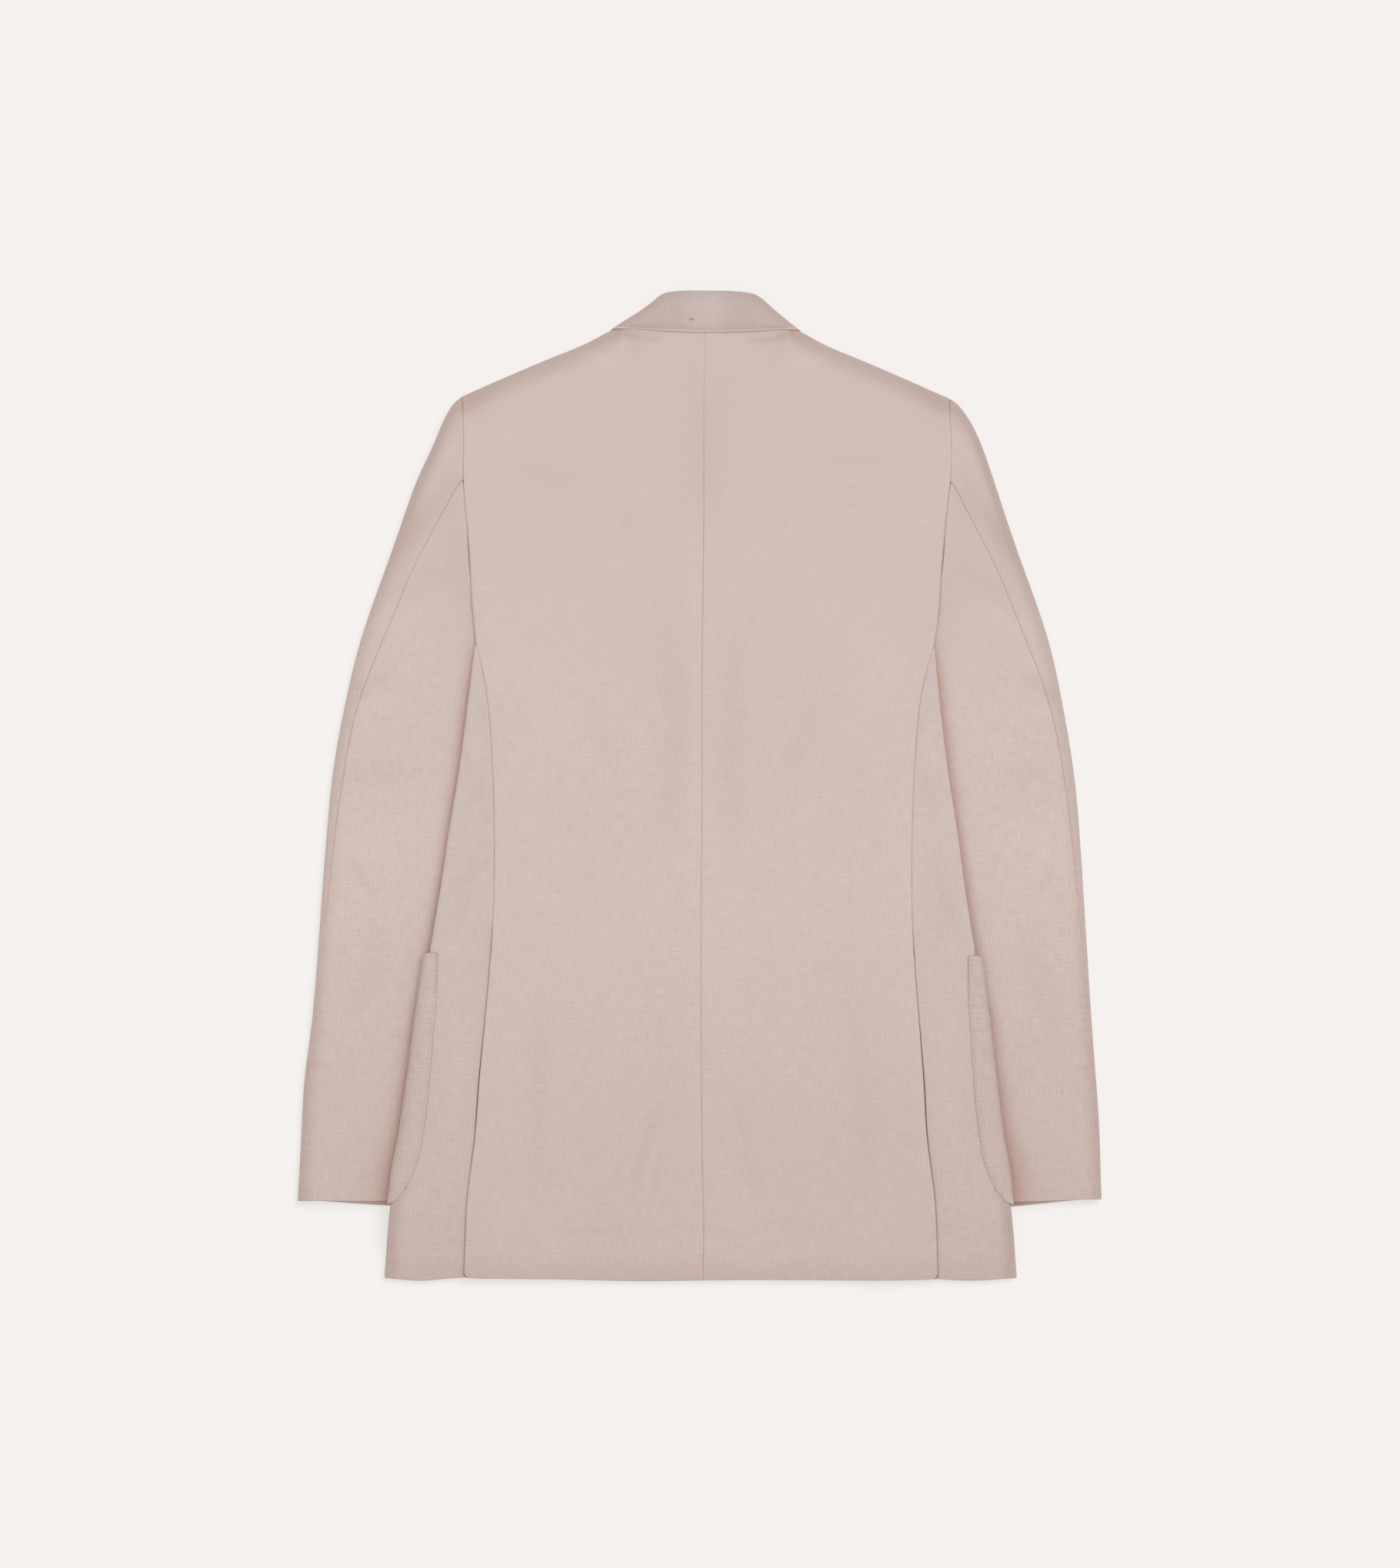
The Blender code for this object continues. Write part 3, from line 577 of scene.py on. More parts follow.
def backHalf(side):
    width, length, start = (backValues[name] for name in ("halfWidth", "length", "fanStart"))
    across = marks(width, clothValues["gridStep"])[None, :]
    level = hem + length * marks(length, clothValues["gridStep"])[:, None]
    topY = read(topTable, "x", "y", width * across)
    fanned = mix(start, topY, (level - start) / backValues["fanRise"])
    y = np.where(level > start, fanned, level + 0 * across)
    x = mix(backValues["centreGap"] / 2, backEdge(y), across)
    inward = backEdge(y) - x
    corner = backValues["cornerRound"]
    toCorner = np.clip(corner - inward, 0, corner)
    y = y + (corner - np.sqrt(corner ** 2 - toCorner ** 2)) * (1 - ease(y, hem, hem + 30))
    real = side * x
    z = upperZ(x, y) + ventLift(x, y)
    folds = creased(backCreases, real, y)
    z += folds + backValues["rippleDepth"] * ripple(real, y, 46, 1.0) * ease(x, 0, 30)
    z += seamDip(x, y, 0.22, 0.4)
    seam = ease(y, ventTop - 2, ventTop + 4)
    z += seamDip(inward, y, 0.4, 1.9) * seam + edgeRoll(inward, 0.2) * (1 - seam)
    z += edgeRoll(inward, 1.3, 5.0) * ease(y, 96, 118) * (1 - ease(y, 150, 205))
    z += edgeRoll(y - hem, 0.35) - 0.2 * bell(y - hem - 27, 3.0)
    kept = np.minimum(pressed(y - hem), 1 - (1 - pressed(inward, 0.75)) * (1 - seam))
    z -= (1 - kept) * single / 2
    # painted shade: darker down the skirt, in the creases' troughs (lighter on their ridges), along the
    # shoulders and where the sleeve tucks under, with warm painted shade along the centre seam and the outer
    # edge
    tuckShade = armholeTuckShade(inward, y)
    edgeShade = seamShade(inward) * (1 - 0.9 * bell(y - 126, 14))
    centreShade = seamShade(x) * mix(0.35, 1, ease(350 - y, 40, 160))
    handedCloth(side, "back", (x, y, z), (x, y), single, "back", backValues, ["front"], kept=kept,
                deep=lowShade(y) + creaseShade(folds) + shoulderShade(x, y) + 0.7 * tuckShade,
                blush=np.maximum(np.maximum(centreShade, edgeShade), tuckShade))


# the side panels run from the front seam round the fold to the back seam
sideValues = {
    "flat": (0.14, 0.492), "area": 0.0495, "length": 486,
    "slitRight": 0.52, "slitLeft": 0.34, "slitMore": 0.6,   # how far the vents stand open, in mm
    "innerX": 126.3, "frontDrop": 22.0,     # its front corner at the underarm, and how far that lies lower
    "hemSag": 2.2,
}


def sidePoint(reach, y):
    edge = body("fold", y)
    x = edge - np.abs(reach)
    low = mix(foldMiddle(y), lowerZ(x, y), arc(-reach, foldReach))
    return x, np.where(reach >= 0, upperZ(x, y), low)


def sideShade(reach, y):
    # painted shade along the fold, darkest below the cuffs
    return mix(0.02, 0.75, ease(y, -296, -330)) * (1 - ease(np.abs(reach), 0, 13))


def foldShares(count=7):
    angle = np.linspace(0, math.pi / 2, count)[1:]
    return foldReach * (1 - np.cos(angle))


def sidePanel(side):
    rows = int(sideValues["length"] / (clothValues["gridStep"] * fine))
    y0 = np.concatenate((hem + np.array([0, 0.6, 1.6]), np.linspace(hem + 3, underarm - 3, rows),
                         [underarm - 1.0]))[:, None]
    edge = body("fold", y0)
    slit = sideValues[handName(side, "slit")]
    slit = slit + sideValues["slitMore"] * bell(y0 + 238, 45)
    upper = edge - body("backSeam", y0) - mix(slit, sewn / 2 + 0.05, ease(y0, ventTop - 3, ventTop + 1))
    lower = edge - body("frontSeam", y0) - gap / 2
    bend = foldShares()[None, :]
    squeeze = np.minimum(1.0, upper / 8)
    below = -lower + (lower - foldReach) * np.linspace(0, 1, 12)[None, :-1]
    above = bend[:, -1:] * squeeze + (upper - bend[:, -1:] * squeeze) * marks(50, 3.0)[None, 1:]
    reach = np.concatenate((below, -bend[:, ::-1] + 0 * y0, 0 * y0, bend * squeeze, above), axis=1)
    y = y0 + 0 * reach
    top = ease(y, 96, underarm - 1.0)
    y = y - sideValues["frontDrop"] * np.clip(-reach / 52, 0, 1) * top
    x, z = sidePoint(reach, y)
    x = np.where((reach < 0) & (top > 0), np.maximum(x, sideValues["innerX"]), x)
    inward = x - body("backSeam", y)
    folds = creased(sideCreases, x, y) * ease(reach, 2, 12)
    seam = ease(y, ventTop - 2, ventTop + 4)
    for lift in (folds, 0.25 * ripple(side * x, y, 34, 2.0) * ease(reach, 3, 16),
                 seamDip(inward, y, 0.4, 1.9) * seam * ease(upper, 1, 4), edgeRoll(y - hem, 0.35)):
        z += np.where(reach > 0, lift, 0)
    kept = pressed(y - hem)
    z -= np.where(reach > 0, 1, -1) * (1 - kept) * single / 2
    wide = np.clip(inward / 58, 0, 1)
    y = y - sideValues["hemSag"] * np.sin(np.pi * wide) * (1 - ease(y, hem, hem + 60))
    # painted shade: darker down the skirt, in the creases' troughs (lighter on their ridges) and along the
    # fold, with warm painted shade along the back seam and the vent's edge
    handedCloth(side, "side", (x, y, z), (body("fold", y) + 3 - reach, y), single, "side", sideValues,
                ["top_sleeve"], kept=kept, deep=0.85 * lowShade(y) + creaseShade(folds) + sideShade(reach, y),
                blush=np.where(reach > 2, seamShade(upper - reach), 0))


underlapValues = {"flat": (ventWidth * mm, 0.256), "area": None}


def ventUnderlap(side):
    y = np.linspace(hem, ventTop - 4, int(255 / (4 * fine)))[:, None]
    across = marks(ventWidth, 4.0)[None, :]
    x = body("backSeam", y) - gap * 1.5 - ventWidth * across
    z = upperZ(x, y) + edgeRoll(y - hem, 0.3)
    # painted shade: it shows only through the vent, and its colour is darkened as the shade in there
    handedCloth(side, "vent_underlap", (x, y, z), (x, y), single, "inner", underlapValues, ["front"],
                "linen_inner", deep=0.8, blush=0.6)


# fronts and lapels, below
frontValues = {"flat": (0.275, 0.738), "area": 0.162, "neckX": 66.0, "shoulderX": 187.4}
lapelValues = {"flat": (0.128, 0.345), "area": 0.0225}


def frontLead(y):
    return np.where(y <= breakPoint, -overlap, read(rollTable, "y", "x", np.minimum(y, 300.0)))


def lapelEdge(y):
    return read(lapelTable, "y", "x", np.clip(y, breakPoint, gorge))


def frontOuter(y):
    return np.where(y > armholeFoot, read(frontArmhole, "y", "x", y), body("frontSeam", y) - gap / 2)


def raiseEnd(y):
    above = np.maximum(lapelEdge(y) + 6, -frontLead(y) + 8)
    return np.where(y > breakPoint, above, overlap + 8)


def leftRaise(x, y):
    height = np.interp(y, (-100, -50, 205, gorge), (single + gap, 4.5, 4.5, 0))
    start = raiseEnd(y)
    end = mix(start, frontOuter(y) - 36, 0.8)
    return height * np.clip((end - x) / (end - start), 0, 1)


def frontPanel(side):
    step = clothValues["hiddenStep"]
    level = marks(gorge - hem, step)[:, None] * (gorge - hem) + hem
    across = marks(240, step)[None, :]
    xLevel = mix(frontLead(level), frontOuter(level), across)
    high = mix(frontValues["neckX"], frontValues["shoulderX"], across)
    top = read(topTable, "x", "y", high)
    rise = np.concatenate((np.linspace(0, 1, 14)[1:-1], 1 - np.array([3.0, 1.2, 0.3, 0.0]) / 70))[:, None]
    yFan = mix(gorge, top, rise)
    xFan = mix(mix(neckTable["x"][0], frontOuter(gorge), across), high, rise)
    first = (across == 0) & (rise < 1)
    xFan = np.where(first, read(neckTable, "y", "x", yFan), xFan)
    xFan = np.where(across == 1, frontOuter(yFan), xFan)
    x = np.concatenate((xLevel, xFan))
    y = np.concatenate((level + 0 * across, yFan))
    z = frontZ(x, y) + (leftRaise(x, y) if side < 0 else 0)
    handedCloth(side, "front", (x, y, z), (x, y), single, "front", frontValues, ["lapel"])


def lapel(side):
    y0 = np.concatenate((np.linspace(breakPoint + 2, gorge, int(305 / (5 * fine))), [gorge]))[:, None]
    share = marks(90, 5.0)[None, :]
    x = mix(frontLead(y0) + 0.5, lapelEdge(y0), share)
    y = y0 - 12 * np.sin(np.pi * share) * np.clip(y0 - 230, 0, 32) / 32
    steps = int(30 / (5 * fine)) + 2
    topX, topY = (np.interp(share, lapelTop["share"], lapelTop[axis]) for axis in "xy")
    lift = np.linspace(0, 1, steps)[1:, None]
    x = np.concatenate((x[:-1], mix(x[-1:], topX, lift)))
    y = np.concatenate((y[:-1], mix(y[-1:], topY, lift)))
    z = double / 2 + (leftRaise(x, np.minimum(y, gorge)) if side < 0 else 0 * x)
    handedCloth(side, "lapel", (x, y, z), (x, y), double, "front", lapelValues, ["front"])


topSleeveValues = {"flat": (0.2, 0.64), "area": 0.083}
underSleeveValues = {"flat": (0.185, 0.575), "area": 0.072}
sleeveValues = {
    "seamReach": 12.0,     # from the inner fold to the front seam, on the hidden side
    # the strength of the painted shadow beside the body's edge
    "blush": 0.72,
    "pocketStandOff": 3.6, # how much further out the pockets lean over the sleeves than the sides do
    "moreRight": 8.0, "moreLeft": 5.0,
}


def sleeve(column, i):
    return read(sleeveTable, "i", column, i)


def pathAt(path, share):
    lengths = np.concatenate(([0.0], np.cumsum(np.hypot(np.diff(path["x"]), np.diff(path["y"])))))
    target = share * lengths[-1]
    return np.interp(target, lengths, path["x"]), np.interp(target, lengths, path["y"])


def ringWidth(i):
    chord = np.hypot(sleeve("outerX", i) - sleeve("innerX", i), sleeve("outerY", i) - sleeve("innerY", i))
    return chord + 25 * sleeve("fan", i)


def ringPoint(i, reach, upper):
    width = ringWidth(i)
    share = reach / width
    fan = sleeve("fan", i)
    x = mix(sleeve("outerX", i), sleeve("innerX", i), share)
    y = mix(sleeve("outerY", i), sleeve("innerY", i), share)
    for branch, use in ((armholeUpper, upper), (armholeLower, ~upper)):
        bx, by = pathAt(branch, share)
        x = x + use * fan * (bx - mix(branch["x"][0], branch["x"][-1], share))
        y = y + use * fan * (by - mix(branch["y"][0], branch["y"][-1], share))
    cap = fan ** 2
    low = heights["sleeveLow"] + cap * (heights["front"] - heights["sleeveLow"])
    rise = heights["back"] - heights["sleeveTop"]
    top = heights["sleeveTop"] + cap * rise * (1 - ease(share, 0.5, 0.72))
    middle = (low + top) / 2
    edge = width - reach
    above = mix(middle, top, np.minimum(softArc(reach), arc(edge, foldReach)))
    below = mix(middle, low, np.minimum(arc(reach, foldReach), arc(edge, foldReach)))
    y = y - np.where(upper, 0.0, 4.0) * ease(share, 0.0, 0.6) * ease(i, 11.0, 12.0)
    bare = ease(reach, 3, 14) * ease(width - reach, 3, 14)
    folds = creased(sleeveCreases, x, y) + 0.3 * ripple(x, y, 38, 3.0)
    above += folds * bare * (1 - ease(share, 0.45, 0.62))
    beside = x - body("fold", y)
    above -= 0.7 * (1 - ease(beside, -4, 11)) * ease(y, 118, 60) * ease(width - reach, 2, 12)
    above += edgeRoll(y + 322 + 0.02 * reach, 0.3) * ease(i, 11.5, 11.9)
    return x, y, np.where(upper, above, below)


def sleeveRows():
    fan = np.concatenate(([0, 0.02, 0.06, 0.14, 0.3], np.linspace(0.5, 5, int(60 / fine))))
    rest = np.linspace(5, 12, int(150 / fine))[1:-1]
    return np.concatenate((fan, rest, [11.97, 11.99, 12.0]))[:, None]


def sleeveShade(i, reach, x, y):
    # painted shade: darker towards the cuff, in the troughs (lighter on the ridges), along the outer edges
    # and cap, in the fold over the cap and in the cuff's vent slit
    low = 0.34 * ease(i, 8.0, 11.8) + 0.05 * (1 - ease(i, 2.5, 4.8))
    folds = creaseShade(creased(sleeveCreases, x, y))
    capEdge = (1 - ease(reach, 0, 30)) * (1 - ease(i, 3.0, 5.4))
    capFold = ease(i, 0.6, 2.2) * (1 - ease(i, 3.4, 4.6))
    capFold = capFold * bell(reach - sleeve("backSeam", i) * 0.62, 9.0)
    slit = ease(y, -283, -274) * ease(y, -210, -219) * (1 - ease(np.abs(reach - 1.2), 0.3, 1.0))
    edges = 0.6 * (1 - ease(reach, 0, 13)) + 0.6 * capEdge + 0.12 * ease(i, 11.75, 11.98)
    return low + folds + edges + 0.12 * capFold + 0.5 * slit


def sleeveShadow(side, x, y):
    # painted shadow that the body's edge and the pocket, leaning over the sleeve, cast on it; it goes by x
    # and y only, so it shows on the sleeve's underside as well
    beside = x - body("fold", y) - sleeveValues["pocketStandOff"] * ease(y, -162, -172)
    reach = mix(12.5, 10.5, ease(y, 20, -60)) + 3 * ease(y, -150, -200)
    reach = reach + sleeveValues[handName(side, "more")] * ease(y, -210, -300)
    return sleeveValues["blush"] * (1 - ease(beside, -2, reach)) * ease(y, 124, 80)


def backSeamAt(i, half):
    # the seam closes up where it runs into the outer fold
    seam = sleeve("backSeam", i)
    return seam + half * ease(seam, 3, 8)


def sleeveCloth(side, word, i, seam, reach, upper, capped, around, values, below):
    # capped is where its edge lies in the armhole, and around its way across the grain
    x, y, z = ringPoint(i, reach, upper)
    toSeam = np.where(upper, np.abs(reach - seam), 99.0)
    wide = ease(seam, 2.0, 6.0)
    z += seamDip(toSeam, 40 * i, 0.4, 0.8) * wide
    z += np.where(capped, -0.3 * bell(10 * i, 0.8), 0)
    # painted shade along the back seam
    seamLine = seamShade(np.minimum(toSeam, 9 * i + 0.1)) * wide * upper
    handedCloth(side, word, (x, y, z), (around, sleeve("outerY", i)), single, "sleeve", values, below,
                deep=sleeveShade(i, reach, x, y), blush=np.maximum(sleeveShadow(side, x, y), seamLine))


def topSleeve(side):
    i = sleeveRows()
    seam = backSeamAt(i, -sewn / 2)
    end = ringWidth(i) - sleeveValues["seamReach"] - gap
    inward = np.concatenate(([0], 0.02 * np.array([1, 2.5, 5]), np.linspace(0.15, 1, 16)))[None, :]
    above = seam * (1 - inward) ** 1.6
    bend = foldShares(6)[None, :] + 0 * i
    below = foldReach + (end - foldReach) * np.linspace(0, 1, 18)[None, 1:]
    reach = np.concatenate((above, bend, below), axis=1)
    upper = np.zeros(reach.shape, bool)
    upper[:, :above.shape[1]] = True
    sleeveCloth(side, "top_sleeve", i, seam, reach, upper, upper, np.where(upper, -reach, reach),
                topSleeveValues, [])


def underSleeve(side):
    i = sleeveRows()
    seam = backSeamAt(i, sewn / 2)
    width = ringWidth(i)
    first = width - sleeveValues["seamReach"] + 2.5 * gap
    bend = foldShares(6)[None, :]
    below = np.concatenate((first, width - 8, width - 5, width - bend[:, ::-1] + 0 * i), axis=1)
    toSeam = mix(width - foldReach, seam, marks(140, clothValues["gridStep"])[None, 1:])
    above = np.concatenate((width + 0 * i, width - bend + 0 * i, toSeam), axis=1)
    reach = np.concatenate((below, above), axis=1)
    upper = np.zeros(reach.shape, bool)
    upper[:, below.shape[1]:] = True
    sleeveCloth(side, "under_sleeve", i, seam, reach, upper, upper & (reach < 0.7 * width), -reach,
                underSleeveValues, ["top_sleeve"])


pocketValues = {"flat": (0.172, 0.206), "area": 0.0335, "mouth": -130.5, "front": 76.0, "puff": 2.0}


def pocketPoint(reach, y):
    x0, z0 = sidePoint(reach - 0.4, y)
    x1, z1 = sidePoint(reach + 0.4, y)
    x, z = sidePoint(reach, y)
    nx, nz = -(z1 - z0), x1 - x0
    length = np.maximum(np.hypot(nx, nz), 1e-6)
    nx, nz = nx / length, nz / length
    facing = nx + np.where(reach > 0, 1.0, -1.0) * nz
    turn = np.where(facing < 0, -1.0, 1.0)
    out = single / 2 + gap + double / 2
    puff = pocketValues["puff"] * mix(1, 0.2, ease(y, -290, -318))
    return x + turn * nx * out + puff * (1 - ease(np.abs(reach), 0, 12)), z + turn * nz * out


def pocketRearReach(y):
    return np.maximum(body("fold", y) - read(pocketRear, "y", "x", np.maximum(y, -307.0)), 0.5)


def pocketWall(reach, y, rear, foot):
    x, z = pocketPoint(reach, y)
    toEdge = np.where(reach > 0, rear - reach, 99.0)
    toFoot = (y - foot) * np.where(reach > 0, 0.5, 1.0)
    kept = np.minimum(np.minimum(pressed(toEdge, 0.22, 10.0), pressed(toFoot, 0.22, 10.0)),
                      pressed(pocketValues["mouth"] - y, 0.6))
    return x, z - np.where(reach > 0, 1, -1) * ((1 - kept) * double / 2 + 0.25), kept


def patchPocket(side):
    v = marks(205, clothValues["gridStep"])[:, None]
    front = np.linspace(0, 1, int(26 / fine) + 2)[None, 1:]
    above = 1 - np.concatenate(([0, 0.02, 0.06, 0.14], np.linspace(0.25, 1, 6)))[None, :]
    bend = np.array([0.4, 1.0, 1.6, 2.6, 4.0, 6.0, 9.0, 12.0])[None, :]
    shares = np.concatenate((0.08 * (1 - above), 0.08 + bend / 170, 0.15 + 0.85 * front), axis=1)
    foot = read(pocketFoot, "share", "y", shares)
    y = mix(pocketValues["mouth"], foot, v)
    edge = body("fold", y)
    rear = pocketRearReach(y)
    n = above.shape[1]
    reach = np.concatenate((rear[:, :n] * above, -bend + 0 * y[:, n:n + 8],
                            mix(-12.0, pocketValues["front"] - edge[:, n + 8:], front)), axis=1)
    x, z, kept = pocketWall(reach, y, rear, foot)
    toEdge = rear - reach
    mouthShade = 0.55 * (1 - ease(pocketValues["mouth"] - y, 8, 45))  # painted shade under its edge, which stands off most at the mouth
    # painted shade along its fold
    foldShade = 0.12 * (1 - ease(np.abs(reach), 0, 8))
    # painted shade: darker down the skirt and everywhere but a narrow rim along its rear edge, which reads as
    # a painted highlight; a warm painted dark line right at that edge
    handedCloth(side, "patch_pocket", (x, y, z), (-reach, y), double, "pocket", pocketValues, ["side"],
                kept=kept, deep=0.16 * ease(toEdge, 0.8, 2.0) + 0.5 * lowShade(y) + foldShade,
                blush=np.where(reach > 1, 0.8 * (toEdge < 0.1) + mouthShade * (toEdge < 0.9), 0))


collarValues = {
    "fallFlat": (0.36, 0.056), "fallArea": 0.0145, "standFlat": (0.104, 0.026), "standArea": 0.0022,
    "fall": 31.0,         # from the roll to the edge, at its middle
    "groove": 0.95,       # the share of that at which its edge is stitched
    "threadEnds": ((-13.2, 360.6, 13.2), (-9.4, 359.4, 13.1)),
}


def mirrored(last, count):
    # steps through a table's rows from the last to the first and back, and the side each is on
    half = np.linspace(0, last, int(count / fine))
    i = np.concatenate((-half[:0:-1], half))[None, :]
    return i, np.where(i < 0, -1.0, 1.0)


def collarFall():
    i, side = mirrored(10, 90)
    c = {name: read(collarTable, "i", name, np.abs(i)) for name in collarTable}
    edgeRows = (0.915, 0.93, 0.942, 0.95, 0.958, 0.968, 0.982, 0.993, 1.0)
    share = np.concatenate(((0, 0.006, 0.02, 0.05, 0.09, 0.15), np.linspace(0.2, 0.9, 12), edgeRows))[:, None]
    x = side * mix(c["rollX"], c["edgeX"], share)
    y = mix(c["rollY"], c["edgeY"], share)
    turned = ease(c["z"], 9.0, 11.5)
    z = c["z"] - 1.2 * turned * (1 - arc(share, 0.15)) - 0.5 * turned * share
    z += turned * 0.2 * ripple(x, y, 17, 4.0) * np.sin(np.pi * share)
    fall = collarValues["fall"]
    toGroove = (share - collarValues["groove"]) * fall
    kept = mix(1.0, pressed((1 - share) * fall, 0.3, 6.0), turned)
    z -= turned * 0.7 * ease(share, 0.3, 1.0) + turned * (1 - kept) * double / 2
    z -= 0.16 * bell(toGroove, 0.35) * turned
    # it stands off a little where it turns towards the front
    springs = bell(np.abs(i) - 4.75, 0.55) * ease(share, 0.8, 1.0)
    z += 0.9 * springs
    # painted shade: lightest at its middle, darker towards its roll, ends and edge and in its stitched
    # groove, with none on its narrow rim, which reads as a painted highlight
    ends = (np.interp(y, *collarEnds.values()) - np.abs(x)) * 0.7
    tone = 0.36 + 0.28 * ease(np.abs(x), 4, 26) + 0.4 * (1 - ease(ends, 0, 9))
    tone += 0.3 * (1 - ease(share * fall, 0, 9)) + 0.25 * ease(share * fall, 22, 29)
    tone = mix(tone, 0.0, ease(share, 0.945, 0.96)) + 0.4 * bell(toGroove, 0.3) + 0 * x
    # painted shade: a warm dark line along its very edge, where it lies on the back
    edgeShade = 0.9 * ease(share, 0.992, 1.0) + 0 * x
    grain = np.stack((x, y), axis=-1)
    clothPiece("collarFall", np.stack((x, y, z), axis=-1)[::-1], grain[::-1], double, finishes["collar"],
               ["collar_fall"], collarValues["fallFlat"], collarValues["fallArea"], ["collar_stand"],
               kept=kept[::-1], deep=np.clip(tone, 0, 1)[::-1], blush=edgeShade[::-1])


def collarStand():
    i, side = mirrored(4, 24)
    x = side * read(standTable, "i", "x", np.abs(i))
    v = np.linspace(0, 1, 8)[:, None]
    y = mix(read(standTable, "i", "foot", np.abs(i)), read(standTable, "i", "head", np.abs(i)), v)
    x, z = x + 0 * y, heights["stand"] + 0 * y
    grain = np.stack((x, y), axis=-1)
    clothPiece("collarStand", np.stack((x, y, z), axis=-1), grain, single, finishes["inner"],
               ["collar_stand"], collarValues["standFlat"], collarValues["standArea"], ["front_right"],
               "linen_inner")


print("cloth shapes ready")


stitchValues = {
    "pitch": 3.4, "length": 1.2, "inside": 1.5, "tackWidth": 2.2, "tackRows": 5,
    "thread": 0.24, "tack": 0.2, "shank": 0.17,     # the threads' radii, in mm
    "tone": (0.40, 0.31, 0.28), "tackTone": (0.62, 0.51, 0.47), "darkTone": (0.12, 0.09, 0.08),
}
buttonValues = {
    "diameter": 23.0, "height": 2.4, "hole": 1.7, "holeSpread": 2.6, "rough": 0.28,
    "horn": (0.42, 0.33, 0.27), "streak": (0.24, 0.17, 0.13),
    "rows": ((60.0, 85.0), (-70.0, 56.0), (-175.0, 56.0)),      # each row's y, and its x to either side
}


def threadFinish(name, colour):
    material, tree, shader = newMaterial(name)
    place = tree.nodes.new("ShaderNodeTexCoord")
    twist = noiseNode(tree, place.outputs["Object"], 2500.0, 2.0, 0.6)
    shown = rampNode(tree, twist, [c * 0.8 for c in colour], [c * 1.2 for c in colour])
    tree.links.new(shown, shader.inputs["Base Color"])
    shader.inputs["Roughness"].default_value = 0.7
    return material


def threadPiece(name, starts, ends, radius, finish):
    # one mesh of short round-ended threads, in mm
    sides, rings = 6, ((-0.9, 0.35), (-0.55, 0.85), (0.0, 1.0), (1.0, 1.0), (1.55, 0.85), (1.9, 0.35))
    vertices, faces = [], []
    for start, end in zip(starts, ends):
        a, b = Vector(start), Vector(end)
        turn = (b - a).to_track_quat("Z", "X")
        base = len(vertices)
        for lift, width in rings:
            along = a + (b - a) * min(max(lift, 0), 1)
            past = (lift if lift < 0 else max(lift - 1, 0)) * radius
            for k in range(sides):
                angle = 2 * math.pi * k / sides
                ring = Vector((math.cos(angle) * width * radius, math.sin(angle) * width * radius, past))
                vertices.append((along + turn @ ring) * mm)
        for r in range(len(rings) - 1):
            for k in range(sides):
                n = (k + 1) % sides
                p = base + r * sides
                faces.append((p + k, p + n, p + n + sides, p + k + sides))
        faces.append([base + k for k in range(sides)][::-1])
        faces.append([base + (len(rings) - 1) * sides + k for k in range(sides)])
    mesh = bpy.data.meshes.new(name)
    mesh.from_pydata(vertices, [], faces)
    mesh.shade_smooth()
    mesh.materials.append(finish)
    piece = linked(name, mesh)
    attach(piece, "root")
    return piece


def pocketStitches(side):
    y = np.arange(pocketValues["mouth"] - 2.5, -316.0, -stitchValues["pitch"])
    rear = pocketRearReach(y)
    x, z, kept = pocketWall(rear - stitchValues["inside"], y, rear, -345.0)
    points = laid(np.stack((side * x, y, z + kept * double / 2 - 0.08), axis=-1))
    starts, steps = points[:-1], np.diff(points, axis=0)
    shares = stitchValues["length"] / np.maximum(np.linalg.norm(steps, axis=1), 1)
    threadPiece(handName(side, "pocket_stitches"), starts, starts + steps * shares[:, None],
                stitchValues["thread"], threads["linen"])


def ventTack(side):
    rows = ventTop - 1.2 + 0.42 * np.arange(stitchValues["tackRows"])
    middle = body("backSeam", rows)
    z = upperZ(middle, rows) + single / 2 + 0.12
    half = stitchValues["tackWidth"] / 2
    first = laid(np.stack((side * (middle - half), rows, z), axis=-1))
    last = laid(np.stack((side * (middle + half), rows + 0.15, z), axis=-1))
    threadPiece(handName(side, "vent_tack"), first, last, stitchValues["tack"], threads["tack"])


def hornFinish():
    material, tree, shader = newMaterial("horn")
    place = tree.nodes.new("ShaderNodeTexCoord")
    clouds = noiseNode(tree, stretched(tree, place.outputs["Object"], 90, 260), 1.0, 4.0, 0.6)
    shown = rampNode(tree, clouds, buttonValues["streak"], buttonValues["horn"], (0.35, 0.65))
    tree.links.new(shown, shader.inputs["Base Color"])
    shader.inputs["Roughness"].default_value = buttonValues["rough"]
    shader.inputs["Coat Weight"].default_value = 0.2
    return material


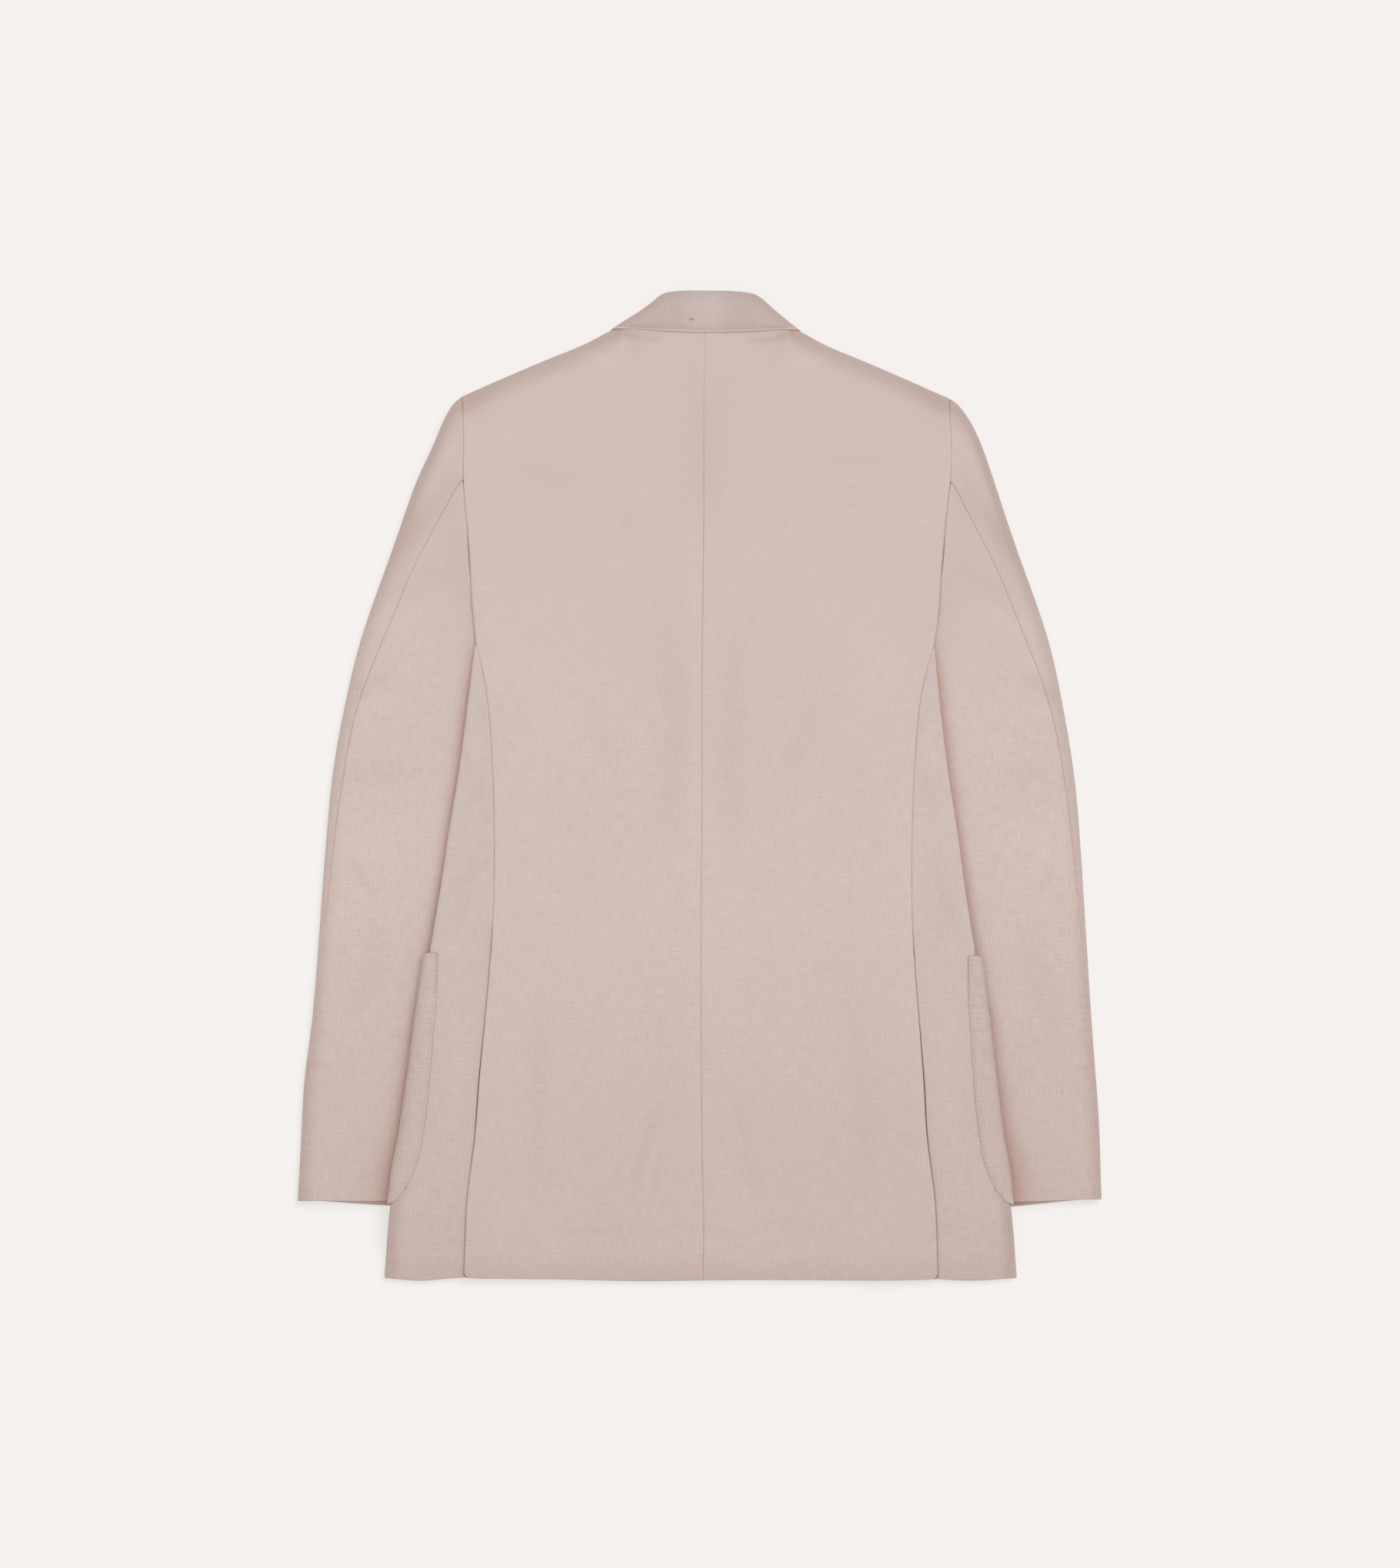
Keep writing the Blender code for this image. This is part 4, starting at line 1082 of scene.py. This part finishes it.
def buttonMesh():
    # a turned disc with a raised rim and four drilled holes, its face down
    radius, height = buttonValues["diameter"] / 2, buttonValues["height"]
    profile = ((0.001, 0.95), (radius * 0.55, 0.92), (radius * 0.70, 0.62), (radius * 0.78, 0.16),
               (radius * 0.84, 0.02), (radius * 0.92, 0.12), (radius * 0.985, 0.55), (radius, 1.05),
               (radius * 0.985, 1.55), (radius * 0.93, 2.1), (radius * 0.85, height), (0.001, height))
    turned = bmesh.new()
    points = [turned.verts.new((px * mm, 0.0, pz * mm)) for px, pz in profile]
    edges = [turned.edges.new(pair) for pair in zip(points, points[1:])]
    bmesh.ops.spin(turned, geom=points + edges, cent=(0, 0, 0), axis=(0, 0, 1), angle=2 * math.pi, steps=56,
                   use_merge=True)
    bmesh.ops.remove_doubles(turned, verts=turned.verts, dist=0.000004)
    bmesh.ops.recalc_face_normals(turned, faces=turned.faces)
    disc = bpy.data.meshes.new("buttonDisc")
    turned.to_mesh(disc)
    turned.free()
    blank = linked("buttonDisc", disc)
    drills = []
    spread = buttonValues["holeSpread"] / 2
    for hx, hy in ((-1, -1), (-1, 1), (1, 1), (1, -1)):
        drill = bmesh.new()
        bore = buttonValues["hole"] / 2 * mm
        bmesh.ops.create_cone(drill, cap_ends=True, segments=20, radius1=bore, radius2=bore, depth=8 * mm)
        mesh = bpy.data.meshes.new("drill")
        drill.to_mesh(mesh)
        drill.free()
        tool = linked("drill", mesh)
        tool.location = (hx * spread * mm, hy * spread * mm, 0)
        cut = blank.modifiers.new("hole", "BOOLEAN")
        cut.operation = "DIFFERENCE"
        cut.object = tool
        drills.append(tool)
    bpy.context.view_layer.update()
    finished = bpy.data.meshes.new_from_object(blank.evaluated_get(bpy.context.evaluated_depsgraph_get()))
    finished.name = "button"
    finished.shade_smooth()
    for thing in drills + [blank]:
        bpy.data.objects.remove(thing)
    return finished


def buttons():
    mesh = buttonMesh()
    mesh.materials.clear()
    mesh.materials.append(hornFinish())
    spread = buttonValues["holeSpread"] / 2
    number = 1
    for y, x in buttonValues["rows"]:
        for side in (-1, 1):
            raised = y > 0 and side < 0
            z = float(leftRaise(x, y)) if raised else 0.0
            turned = linked("button" + str(number), mesh)
            turned.location = (side * x * mm, y * mm, z * mm)
            turned.rotation_euler = (0, 0, 0.4 * number)
            weighted = turned.modifiers.new("edges", "WEIGHTED_NORMAL")
            weighted.keep_sharp = True
            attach(turned, "root")
            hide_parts("button_" + str(number))
            starts, ends = [], []
            for row in (-1, 1):
                for offset in (-0.3, 0.0, 0.3):
                    for across, found in ((-spread, starts), (spread, ends)):
                        end = Vector((across, row * spread + offset, 0.8))
                        end.rotate(turned.rotation_euler)
                        found.append(Vector((side * x, y, z)) + end)
            threadPiece("buttonThread" + str(number), starts, ends, stitchValues["shank"], threads["linen"])
            number += 1


threads = {"linen": threadFinish("thread_linen", stitchValues["tone"]),
           "tack": threadFinish("thread_tack", stitchValues["tackTone"]),
           "dark": threadFinish("thread_dark", stitchValues["darkTone"])}

for side in (-1, 1):
    backHalf(side)
    sidePanel(side)
    ventUnderlap(side)
    frontPanel(side)
    lapel(side)
    topSleeve(side)
    underSleeve(side)
    patchPocket(side)
    pocketStitches(side)
    ventTack(side)
collarFall()
collarStand()
start, end = collarValues["threadEnds"]
threadPiece("collarThread", [start], [end], stitchValues["tack"], threads["dark"])
buttons()
print("cloth pieces made")


stageValues = {
    "table": (0.9216, 0.8880, 0.8632),
    "reach": 3.0, "drop": 0.0004,       # the table's half width and how far it lies below 0, in metres
    "lit": 0.16,                        # the share of its tone that the lamps give
    "dome": 0.78, "overhead": 0.14, "window": 0.08, "contact": 0.78,
}


def sun(name, share, direction, spread):
    # share is how much of the table's light it gives
    lamp = bpy.data.lights.new(name, "SUN")
    towards = Vector(direction).normalized()
    lamp.energy = share * math.pi / towards.z
    lamp.angle = math.radians(spread)
    holder = linked(name, lamp)
    holder.rotation_euler = towards.to_track_quat("Z", "Y").to_euler()
    return holder


def stage():
    mesh = bpy.data.meshes.new("table")
    reach = stageValues["reach"]
    corners = ((-1, -1), (1, -1), (1, 1), (-1, 1))
    mesh.from_pydata([(reach * x, reach * y, -stageValues["drop"]) for x, y in corners], [], [(0, 1, 2, 3)])
    floor = linked("table", mesh)
    paint, tree, shader = newMaterial("table")
    glow = 1 - stageValues["lit"] * (1 + stageValues["contact"])
    shader.inputs["Base Color"].default_value = [c * stageValues["lit"] for c in stageValues["table"]] + [1]
    shader.inputs["Emission Color"].default_value = stageValues["table"] + (1,)
    shader.inputs["Emission Strength"].default_value = glow
    shader.inputs["Roughness"].default_value = 1.0
    shader.inputs["Specular IOR Level"].default_value = 0.0
    mesh.materials.append(paint)
    world = bpy.data.worlds.new("studio")
    world.use_nodes = True
    sky = world.node_tree.nodes["Background"]
    sky.inputs["Color"].default_value = (1, 1, 1, 1)
    sky.inputs["Strength"].default_value = stageValues["dome"]
    bpy.context.scene.world = world
    sun("overhead", stageValues["overhead"], (0.05, 0.08, 1.0), 30.0)
    sun("window", stageValues["window"], (0.6, 0.75, 1.0), 20.0)
    # a side light for the table alone lays the soft shadow below and to the left of the garment
    side = sun("side", stageValues["contact"], (0.85, 1.0, 1.4), 40.0)
    lit = bpy.data.collections.new("table only")
    lit.objects.link(floor)
    side.light_linking.receiver_collection = lit


cameraValues = {"lens": 100.0, "view": 1.2147, "offsetX": -0.0028, "offsetY": 0.0012, "roll": 0.0055}


def camera():
    data = bpy.data.cameras.new("overhead")
    data.lens = cameraValues["lens"]
    data.sensor_width = 36.0
    eye = linked("overhead", data)
    distance = cameraValues["view"] * data.lens / data.sensor_width
    eye.location = (cameraValues["offsetX"], cameraValues["offsetY"], distance)
    eye.rotation_euler = (0, 0, cameraValues["roll"])
    bpy.context.scene.camera = eye
    bpy.context.scene.view_settings.view_transform = "Standard"


stage()
camera()
print("stage ready")
